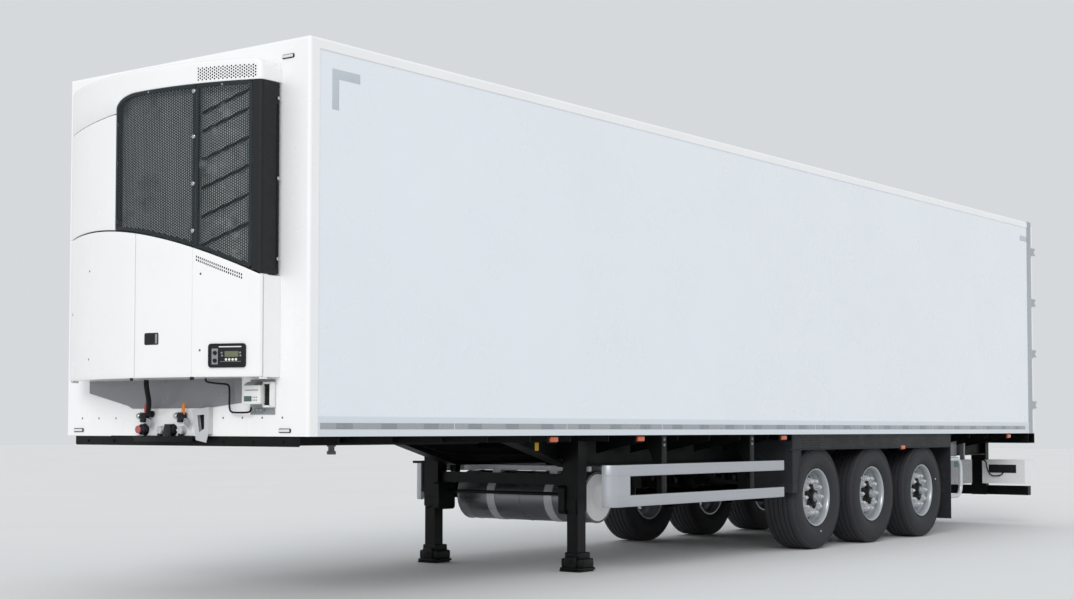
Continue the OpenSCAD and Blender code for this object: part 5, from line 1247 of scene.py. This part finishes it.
def make_tank(fin):
    """The tank's seams and dished ends, its filler cap, and the bolts of its straps"""
    x, z = [float(high("fuel_tank")[k] + low("fuel_tank")[k]) / 2 for k in (0, 2)]
    r = float(high("fuel_tank")[0] - low("fuel_tank")[0]) / 2
    end, dish_r = 720 * MM, 228 * MM

    def across(part, y, s=1):
        """The part set about the tank's axis at y, looking to the side of s"""
        return moved(part, (x, y, z), x=(0, 0, 1), y=(s, 0, 0), z=(0, s, 0))

    rim = turned([r, 0] + mm([[-1, 0], [-1, 7], [-6, 9], [-12, 7], [-12, 0]]), 96, closed=True)
    bead = turned([r, 0] + mm([[-4, -4], [-1, -3], [-1, 3], [-4, 4]]), 96, closed=True)
    seams = [across(rim, s * (end - 1 * MM), s) for s in (1, -1)] + [across(bead, y) for y in (-0.6, 0, 0.6)]
    put("tank_seams", joined(seams), fin["tank"])
    # a shallow cone with a ring pressed out of it, as shares of the dish's radius, and its turned-in rim
    dish = [[0, 17.4 * MM], [0.42 * dish_r, 15.4 * MM], [0.46 * dish_r, 21.3 * MM],
            [0.52 * dish_r, 21.3 * MM], [0.56 * dish_r, 15.4 * MM], [dish_r - 16 * MM, 7.4 * MM],
            [dish_r - 16 * MM, 4 * MM], [0, 4 * MM]]
    # the ends' near-white finish is painted light for ends that lie in shade
    ends = [across(turned(dish, 96), s * end, s) for s in (-1, 1)]
    put("tank_ends", joined(ends), fin["tank_end"])
    # the filler's neck leans outwards and back
    tip = np.array([x - 0.3 * dish_r, end - 6 * MM, z + 0.62 * dish_r])
    lean = Matrix.Rotation(math.radians(-48), 3, "X") @ Matrix.Rotation(math.radians(-24), 3, "Y")
    up = np.array(lean @ Vector((0, 0, 1)))
    side = np.cross(up, (1, 0, 0))
    side /= np.linalg.norm(side)
    cap = turned(mm([[0, 26], [30, 26], [34, 22], [34, 4], [30, 0], [0, 0]]), 32)
    put("tank_cap", moved(cap, tip + up * 92 * MM, x=np.cross(side, up), y=side, z=up), fin["nylon"])
    bolts = []
    for y in (-0.33, 0.33):
        for s in (-1, 1):
            places = [(x + s * 0.6 * r, y + dy, z + 0.84 * r) for dy in (-24 * MM, 24 * MM)]
            bolts += bolts_at(places, 8, 9, ALONG_X if s > 0 else BACKWARDS)
    put("strap_bolts", joined(bolts), fin["zinc"])


# --------------------------------------------------------------- wheels

WHEEL_R = float(high("tyre_1_left")[2] - low("tyre_1_left")[2]) / 2
WHEEL_W = float(high("tyre_1_left")[1] - low("tyre_1_left")[1]) / 2
RIM_R = 286 * MM
DISC_Y = 96 * MM
NUT_RING = 167.5 * MM
NUTS = 10
HUB_R = 92 * MM
SIDES = ((1, "left"), (-1, "right"))


def tyre_profile(grooves, depth):
    """Radius and half width: bead, rounded wall with three fine raised lines, shoulder, and a tread that
    falls off as the square of its half width and has grooves; then the inside of the casing"""
    r0, r1, w = RIM_R + 2 * MM, WHEEL_R, WHEEL_W
    deep = r1 - r0
    bead = [r0, 0] + mm([[13, 151], [22, 161], [30, 168], [36, 166.5], [50, 178]])
    # shares of the wall's height, and millimetres inside the widest place
    wall = [[0.34, -5], [0.45, -0.5], [0.56, -1.5], [0.7, -8], [0.705, -6], [0.725, -6.5], [0.73, -9.5],
            [0.82, -14], [0.825, -10], [0.845, -11], [0.85, -17]]
    wall = [r0, w] + np.array(wall) * [deep, MM]
    shoulder = [r1, w] + mm([[-26, -20], [-14, -25], [-6, -34], [-2.5, -46]])
    half = w - 50 * MM
    tread = []
    for k in range(grooves):
        y = half * (1 - 2 * (k + 0.7) / (grooves + 0.4))
        crown = r1 - 2.2 * MM * (y / half)**2
        tread += [[crown - share * depth, y + dy * MM] for dy, share in
                  ((5.5, 0), (4.5, 0.75), (2.5, 1), (-2.5, 1), (-4.5, 0.75), (-5.5, 0))]
    side = np.vstack([bead, wall, shoulder])
    inner = np.array([[r0 + 16 * MM, -122 * MM], [r0 + 0.3 * deep, 34 * MM - w],
                      [r0 + 0.6 * deep, 30 * MM - w], [r1 - 44 * MM, 60 * MM - w],
                      [r1 - 32 * MM, 96 * MM - w]])
    return np.vstack([side, tread, side[::-1] * [1, -1], inner, inner[::-1] * [1, -1]])


def rim_surface():
    """The rim, as millimetres from its radius and its middle: outer lip, barrel with its bead seats and
    drop centre, inner lip, and back inside"""
    line = [[12, 160], [11.6, 151.5], [8, 150.4], [1.6, 150], [0, 148], [0, 120], [-3, 112], [0, 104],
            [0, 72], [-26, 42], [-26, -60], [0, -90], [0, -148], [12, -152], [12, -160], [-4, -160],
            [-10, -152], [-10, -92], [-38, -60], [-38, 32], [-33, 50], [-20, 66], [-14, 84], [-13, 104],
            [-15, 112], [-12, 120], [-10, 136], [-6, 150], [0, 158], [6, 161.4], [10.5, 162]]
    return turned([RIM_R, 0] + mm(line), 96, closed=True)


def cells(index):
    """Faces between the neighbours in a grid of point numbers"""
    return np.stack([index[:-1, :-1], index[:-1, 1:], index[1:, 1:], index[1:, :-1]], -1).reshape(-1, 4)


def rim_wheel_disc():
    """The wheel disc, drawn as angle and radius: a flat bolting face, a raised shoulder with a hand hole
    between every two nuts, and a slope down to the barrel. About each hole, rings go from its circle to
    the border of its cell; a shallow lip round the hole is pressed in"""
    k = 8
    ring_r, hole, r_in, r_out = 217 * MM, 23 * MM, 190 * MM, 244 * MM
    part = np.pi / NUTS
    t = np.linspace(-1, 1, k + 1)[:-1]
    across = (r_out - r_in) * (t + 1) / 2
    border = np.vstack([np.column_stack([part * t, np.full(k, r_in)]),
                        np.column_stack([np.full(k, part), r_in + across]),
                        np.column_stack([-part * t, np.full(k, r_out)]),
                        np.column_stack([np.full(k, -part), r_out - across])])
    phi = np.arctan2(border[:, 1] - ring_r, border[:, 0] * ring_r)
    inner = np.column_stack([hole * np.cos(phi) / ring_r, ring_r + hole * np.sin(phi)])
    shares = (0, 0.12, 0.5, 1)
    ring = np.stack([inner * (1 - q) + border * q for q in shares], 1)
    index = np.arange(len(border) * len(shares)).reshape(len(border), len(shares))
    quads = cells(np.vstack([index, index[:1]]))
    polar = [ring.reshape(-1, 2) + [part + 2 * part * j, 0] for j in range(NUTS)]
    faces = [quads + index.size * j for j in range(NUTS)]
    count = index.size * NUTS
    a = np.linspace(0, 2 * np.pi, NUTS * k + 1)
    for radii in ((HUB_R - 14 * MM, 120 * MM, 184 * MM, r_in), (r_out, 250 * MM, 258 * MM, 266 * MM)):
        aa, rr = np.meshgrid(a, radii, indexing="ij")
        polar.append(np.column_stack([aa.ravel(), rr.ravel()]))
        faces.append(cells(np.arange(aa.size).reshape(aa.shape) + count))
        count += aa.size
    angle, r = np.vstack(polar).T
    beside = ((angle / (2 * part)) % 1 - 0.5) * 2 * part * ring_r
    near_hole = np.abs(np.hypot(beside, r - ring_r) - hole) < 2 * MM
    height = np.interp(r, mm([90, 184, 196, 208, 224, 240, 252, 266]), mm([96, 96, 93, 84, 66, 50, 42, 34]))
    front = np.column_stack([r * np.cos(angle), r * np.sin(angle), height - np.where(near_hole, 1.6 * MM, 0)])
    return sheeted(front, front - [0, 0, 12 * MM], [np.vstack(faces)])


def hub_surface():
    """The hub: a flange with five lobes that reach out between the nuts, a neck, and a rounded nose. Each
    row holds a radius, a height, and how much of the lobes' reach it has"""
    rows = np.array([[84, 92, 0.9], [88, 98, 1], [86, 108, 1], [82, 114, 0.8], [80, 120, 0.2],
                     [78, 134, 0], [72, 142, 0], [62, 146, 0], [0, 147, 0]])
    n, reach = 120, 50
    a = np.arange(n) * 2 * np.pi / n
    wave = np.clip(0.5 + 0.75 * np.cos(5 * a + math.pi / 2), 0, 1)
    r = (rows[None, :, 0] + reach * rows[None, :, 2] * wave[:, None]) * MM
    grid = np.stack([r * np.cos(a)[:, None], r * np.sin(a)[:, None], np.tile(rows[:, 1] * MM, (n, 1))], -1)
    return lattice(grid, wrap_u=True, caps=(0,))


def nut_set():
    """Ten wheel nuts on their washers, with the stud ends standing out"""
    one = joined([turned(mm([[0, 24], [20, 24], [22, 22], [23, 3], [25, 0], [0, 0]]), 24),
                  slab(circle(21 * MM, 6), 22 * MM, 46 * MM, 3 * MM, 3, False),
                  turned(mm([[0, 58], [9, 58], [10.5, 56], [10.5, 44], [0, 44]]), 18)])
    a = np.arange(NUTS) * 2 * np.pi / NUTS
    return joined([moved(one, (NUT_RING * math.cos(v), NUT_RING * math.sin(v), DISC_Y)) for v in a])


def make_wheels(fin):
    """Six wheels: a tyre, a rim with its disc, the nuts, the hub and its cap, each riding on its own body"""
    look = bpy.context.scene.trailer_look
    tyre = turned(tyre_profile(look.tread_grooves, look.groove_depth), 144, closed=True)
    rim = joined([rim_surface(), rim_wheel_disc()])
    cap = turned(mm([[0, 168], [26, 168], [34, 165], [38, 158], [38, 151], [46, 149], [46, 144],
                     [0, 144]]), 48)
    stem = spline(mm([[262, 0, 70], [250, 0, 100], [243, 0, 150]]), 4)
    valve = swept(circle(5 * MM, 10), stem, up=(0, 1, 0))
    dot = turned(mm([[0, 4], [6, 3.6], [8, 2], [8, 0], [0, 0]]), 16)
    extras = (("wheel_nuts", nut_set(), "strap"), ("hub", hub_surface(), "black"), ("hub_cap", cap, "zinc"),
              ("tyre_valve", valve, "chrome"))
    for k, dot_at in ((1, 98), (2, 330), (3, 200)):
        for s, side in SIDES:
            centre = (low(f"tyre_{k}_{side}") + high(f"tyre_{k}_{side}")) / 2
            place = dict(origin=centre, x=(1, 0, 0), y=(0, 0, -s), z=(0, s, 0))
            body = f"wheel_{k}_{side}"
            put(f"tyre_skin_{k}_{side}", moved(tyre, **place), fin["tyre"], body,
                [f"tyre_{k}_{side}"])
            put(f"rim_skin_{k}_{side}", moved(rim, **place), fin["rim"], body,
                [f"rim_{k}_{side}"])
            for name, part, kind in extras:
                put(f"{name}_{k}_{side}", moved(part, **place), fin[kind], body)
            turn = math.radians(dot_at)
            spot = (0.357 * math.cos(turn), 0.357 * math.sin(turn), WHEEL_W - 9 * MM)
            put(f"tyre_dot_{k}_{side}", moved(moved(dot, spot), **place), fin["white_abs"], body)


# ------------------------------------------------------------- the rear

BOX_LENGTH = 13.6


def make_rear(fin):
    """Door seals, the bolts of hinges and locks, the rear lamps with their cables, and a blank plate"""
    face = FRONT - BOX_LENGTH
    y0, y1 = 12 * MM, HALF - 14 * MM
    z0, z1 = float(low("rear_door_left")[2]), float(high("rear_door_left")[2])
    # the seal lies on the door's face, clear of the hinge leaves at its outer edge
    outline = round_rect(y1 - y0 - 70 * MM, z1 - z0, 12 * MM) + [(y0 + y1 - 70 * MM) / 2, (z0 + z1) / 2]
    outline[:, 0] = np.clip(outline[:, 0], y0 + 1 * MM, y1 - 68 * MM)
    seal = [(shrunk(outline, e * MM) if e else outline, x * MM) for e, x in
            ((0, 0), (0, 3), (4, 5), (22, 5), (26, 3), (26, 0))]
    seal = moved(stacked(seal, closed=True), (face, 0, 0), **BACKWARDS)
    for s, side in SIDES:
        body = f"rear_door_{side}"
        put(f"door_seal_{side}", seal if s > 0 else mirrored(seal), fin["rubber"], body)
        places = [(face - 6 * MM, s * (1.27 - dy), z0 + (z1 - z0) * share + dz) for share in
                  (0.125, 0.375, 0.625, 0.875) for dy in (0.06, 0.13, 0.2) for dz in (-20 * MM, 20 * MM)]
        put(f"hinge_bolts_{side}", joined(bolts_at(places, 7, 6, BACKWARDS)), fin["steel"], body)
        places = [(face - 37 * MM, s * y + dy, z0 + (z1 - z0) * share) for y in (0.212, 0.832) for share in
                  (0.06, 0.35, 0.65, 0.94) for dy in (-22 * MM, 22 * MM)]
        put(f"lock_bolts_{side}", joined(bolts_at(places, 6, 5, BACKWARDS)), fin["stainless"], body)
    lamp_front, lamp_back = float(high("lamp_carriers")[0]), float(low("lamp_carriers")[0])
    parts = [box((lamp_front - 90 * MM, 0.795, 0.66), (lamp_front - 5.5 * MM, 1.19, 0.79), 6 * MM)]
    for left, right in ((0.82, 0.885), (0.905, 0.99), (1.01, 1.12)):
        parts.append(box((lamp_front - 30 * MM, left, 0.69), (lamp_front - 1 * MM, right, 0.765), 5 * MM))
    put("rear_lamp_backs", both_sides(parts), fin["nylon"])
    line = [lamp_front, 0, 0] + mm([[-4, 722, 838], [14, 755, 832], [22, 785, 800], [24, 795, 735],
                                    [26, 829, 664], [28, 888, 633], [24, 972, 642], [4, 1006, 678],
                                    [-10, 1010, 700]])
    cable = swept(circle(8 * MM, 10), spline(line, 5), up=(1, 0.01, 0))
    put("rear_lamp_cables", both_sides([cable]), fin["rubber"])
    for name, y_in, y_out, kind in (("stop", 1.08, 1.2, "red_lens"), ("turn", 0.98, 1.07, "amber"),
                                    ("reverse", 0.9, 0.97, "clear")):
        lens = box((lamp_back - 2 * MM, y_in, 0.6), (lamp_back + 40 * MM, y_out, 0.72), 8 * MM)
        put(f"rear_lamp_{name}", both_sides([lens]), fin[kind])
    plate = box((lamp_back + 4 * MM, -0.26, 0.66), (lamp_back + 7 * MM, 0.26, 0.77), 1.4 * MM)
    put("plate_holder", plate, fin["white_abs"])
    rail = box((lamp_back + 7 * MM, -0.7, 0.68), (lamp_back + 20 * MM, 0.7, 0.72), 3 * MM)
    put("plate_bar", rail, fin["zinc"])


def make_lines(fin):
    """Air lines and cables under the body, hung along both sides of the beams"""
    route = ((3.2, 1.135), (3.5, 1.07), (3.9, 1.01), (5, 0.99), (7, 0.985), (9, 0.99), (11, 0.985),
             (13.1, 0.99))
    parts = []
    for s in (-1, 1):
        for inset in (0, 16 * MM, 32 * MM):
            line = spline([[at(d), s * (0.6 - inset), z] for d, z in route], 6)
            parts.append(swept(circle(5 * MM, 8), line, up=(0, 0.01, 1)))
    put("under_lines", joined(parts), fin["rubber"])


# ---------------------------------------------------- settings and stage

def colour(name, hex_colour, text):
    """A colour that a user may change"""
    return bpy.props.FloatVectorProperty(name=name, description=text, default=linear(hex_colour)[:3],
                                         subtype="COLOR", min=0, max=1)


def length(name, text, millimetres, lowest, highest):
    """A length that a user may change; its default and its limits are millimetres"""
    return bpy.props.FloatProperty(name=name, description=text, default=millimetres * MM, min=lowest * MM,
                                   max=highest * MM, unit="LENGTH")


class TrailerLook(bpy.types.PropertyGroup):
    """Colours and sizes that a user may change before building"""
    # the side panel's default white has a faint blue tint of painted sky light
    panel_colour: colour("Side panel", "#F1F6FB", "Gelcoat of the side walls, roof and rear doors")
    wall_colour: colour("Front wall", "#FBFBFB", "Powder coat of the front wall and edge rails")
    cover_colour: colour("Unit cover", "#F9F9F8", "Gelcoat of the refrigeration unit")
    grille_colour: colour("Grille", "#2F3638", "Coating of the perforated sheets")
    guard_colour: colour("Side guard", "#B9BCC1", "Aluminium of the side guards")
    mudguard_colour: colour("Mudguard", "#2C2D30", "Plastic of the mudguards")
    # the rims' default grey is silver enamel made a little darker as painted shade
    rim_colour: colour("Rims", "#B4B8BC", "Enamel of the wheels")
    hole_pitch: length("Hole pitch", "Spacing of the grille's holes", 18.7, 14, 40)
    hole_size: length("Hole size", "Diameter of the grille's holes", 13.4, 4, 13.6)
    tread_grooves: bpy.props.IntProperty(name="Tread grooves", description="Grooves round each tyre",
                                         default=5, min=3, max=7)
    groove_depth: length("Groove depth", "Depth of the tread grooves", 13, 2, 16)


# The camera: its place, its yaw, pitch and roll in degrees, its lens in millimetres and its shift
CAMERA_PLACE = (14.976, 9.452, 1.255)
CAMERA_TURN = (217.757, 2.446, 0.087)
CAMERA_LENS = 56.92
CAMERA_SHIFT = (0.0314, 0.0516)
SUN_AHEAD = (-0.78, -0.4, -0.48)
FLOOR_HALF = 90


def make_stage():
    """A pale floor and backdrop, one soft sun, the sky light, and the camera"""
    # Smooth painted concrete floor, nearly white, so that contact shadows show
    floor_finish = surface("pale_studio_floor", ("#E6E6E5", "#E0E0DF"), (0.7, 0.8), 4000)
    mesh = bpy.data.meshes.new("floor_plane")
    corners = [(x * FLOOR_HALF, y * FLOOR_HALF, -2 * MM) for x, y in ((-1, -1), (1, -1), (1, 1), (-1, 1))]
    mesh.from_pydata(corners, [], [(0, 1, 2, 3)])
    mesh.materials.append(floor_finish)
    plane = bpy.data.objects.new("floor_plane", mesh)
    sun = bpy.data.objects.new("sun", bpy.data.lights.new("sun", "SUN"))
    sun.data.energy = 1.1
    sun.data.angle = math.radians(26)
    sun.rotation_euler = Vector(SUN_AHEAD).to_track_quat("-Z", "Y").to_euler()
    cam = bpy.data.objects.new("camera", bpy.data.cameras.new("camera"))
    for thing in (plane, sun, cam):
        bpy.context.scene.collection.objects.link(thing)
    yaw, pitch, roll = [math.radians(v) for v in CAMERA_TURN]
    ahead = Vector((math.cos(pitch) * math.cos(yaw), math.cos(pitch) * math.sin(yaw), math.sin(pitch)))
    right = ahead.cross(Vector((0, 0, 1))).normalized()
    up = right.cross(ahead)
    x = right * math.cos(roll) + up * math.sin(roll)
    y = up * math.cos(roll) - right * math.sin(roll)
    turn = Matrix((x, y, -ahead)).transposed()
    cam.matrix_world = Matrix.Translation(CAMERA_PLACE) @ turn.to_4x4()
    cam.data.sensor_width = 36
    cam.data.lens = CAMERA_LENS
    cam.data.shift_x, cam.data.shift_y = CAMERA_SHIFT
    cam.data.dof.use_dof = False
    cam.data.clip_end = 400
    bpy.context.scene.camera = cam
    world = bpy.data.worlds.new("studio")
    bpy.context.scene.world = world
    world.use_nodes = True
    tree = world.node_tree
    tree.nodes.clear()
    path = add(tree, "ShaderNodeLightPath")
    seen = add(tree, "ShaderNodeMath", {0: path.outputs["Is Camera Ray"],
                                        1: path.outputs["Is Transmission Ray"]}, operation="MAXIMUM")
    light = add(tree, "ShaderNodeBackground", {"Color": linear("#F4F7FA"), "Strength": 0.81})
    shown = add(tree, "ShaderNodeBackground", {"Color": linear("#D6D9DC"), "Strength": 1.0})
    mix = add(tree, "ShaderNodeMixShader", {0: seen.outputs[0], 1: light.outputs[0], 2: shown.outputs[0]})
    add(tree, "ShaderNodeOutputWorld", {"Surface": mix.outputs[0]})
    bpy.context.scene.view_settings.view_transform = "Standard"


# ------------------------------------------------------------- add-on

class TRAILER_OT_stage(bpy.types.Operator):
    """Sets up the floor, the light and the camera"""
    bl_idname = "trailer.stage"
    bl_label = "Stage"

    def execute(self, context):
        make_stage()
        return {"FINISHED"}


class TRAILER_OT_finishes(bpy.types.Operator):
    """Gives every CAD node its finish"""
    bl_idname = "trailer.finishes"
    bl_label = "Finishes"

    def execute(self, context):
        dress_nodes(finishes())
        return {"FINISHED"}


class TRAILER_OT_unit(bpy.types.Operator):
    """Builds the covers, louvres and doors of the refrigeration unit"""
    bl_idname = "trailer.unit"
    bl_label = "Refrigeration unit"

    def execute(self, context):
        fin = finishes()
        make_hood(fin)
        make_side_cover(fin)
        make_grille(fin)
        make_unit_doors(fin)
        make_controller(fin)
        return {"FINISHED"}


class TRAILER_OT_front(bpy.types.Operator):
    """Builds the service panel, the couplings, the recorder and the fittings of the front wall"""
    bl_idname = "trailer.front"
    bl_label = "Front wall"

    def execute(self, context):
        fin = finishes()
        make_front_panel(fin)
        make_couplings(fin)
        make_recorder(fin)
        make_front_fittings(fin)
        return {"FINISHED"}


class TRAILER_OT_sides(bpy.types.Operator):
    """Builds the tape, the corner marks and the marker lamps of the sides"""
    bl_idname = "trailer.sides"
    bl_label = "Sides"

    def execute(self, context):
        fin = finishes()
        make_tape(fin)
        make_side_markers(fin)
        return {"FINISHED"}


class TRAILER_OT_chassis(bpy.types.Operator):
    """Builds the guards, mudguard ribs, leg and tank details and the lines under the body"""
    bl_idname = "trailer.chassis"
    bl_label = "Chassis"

    def execute(self, context):
        fin = finishes()
        make_guards(fin)
        make_mudguards(fin)
        make_legs(fin)
        make_labels(fin)
        make_tank(fin)
        make_lines(fin)
        return {"FINISHED"}


class TRAILER_OT_wheels(bpy.types.Operator):
    """Builds the six wheels"""
    bl_idname = "trailer.wheels"
    bl_label = "Wheels"

    def execute(self, context):
        make_wheels(finishes())
        return {"FINISHED"}


class TRAILER_OT_rear(bpy.types.Operator):
    """Builds the seals, bolts and lamps of the rear"""
    bl_idname = "trailer.rear"
    bl_label = "Rear"

    def execute(self, context):
        make_rear(finishes())
        return {"FINISHED"}


STEPS = (TRAILER_OT_stage, TRAILER_OT_finishes, TRAILER_OT_unit, TRAILER_OT_front, TRAILER_OT_sides,
         TRAILER_OT_chassis, TRAILER_OT_wheels, TRAILER_OT_rear)


class TRAILER_PT_panel(bpy.types.Panel):
    """Lists the settings and the steps"""
    bl_idname = "TRAILER_PT_panel"
    bl_label = "Refrigerated trailer"
    bl_space_type = "VIEW_3D"
    bl_region_type = "UI"
    bl_category = "Trailer"

    def draw(self, context):
        for key in TrailerLook.__annotations__:
            self.layout.prop(context.scene.trailer_look, key)
        for step in STEPS:
            self.layout.operator(step.bl_idname)


def register():
    """Registers the settings, the steps and the panel"""
    for cls in (TrailerLook, *STEPS, TRAILER_PT_panel):
        bpy.utils.register_class(cls)
    bpy.types.Scene.trailer_look = bpy.props.PointerProperty(type=TrailerLook)


def unregister():
    """Undoes register"""
    del bpy.types.Scene.trailer_look
    for cls in (TRAILER_PT_panel, *reversed(STEPS), TrailerLook):
        bpy.utils.unregister_class(cls)


def main():
    """Runs every step in order"""
    register()
    for step in STEPS:
        group, name = step.bl_idname.split(".")
        getattr(getattr(bpy.ops, group), name)()


if __name__ == "__main__":
    main()
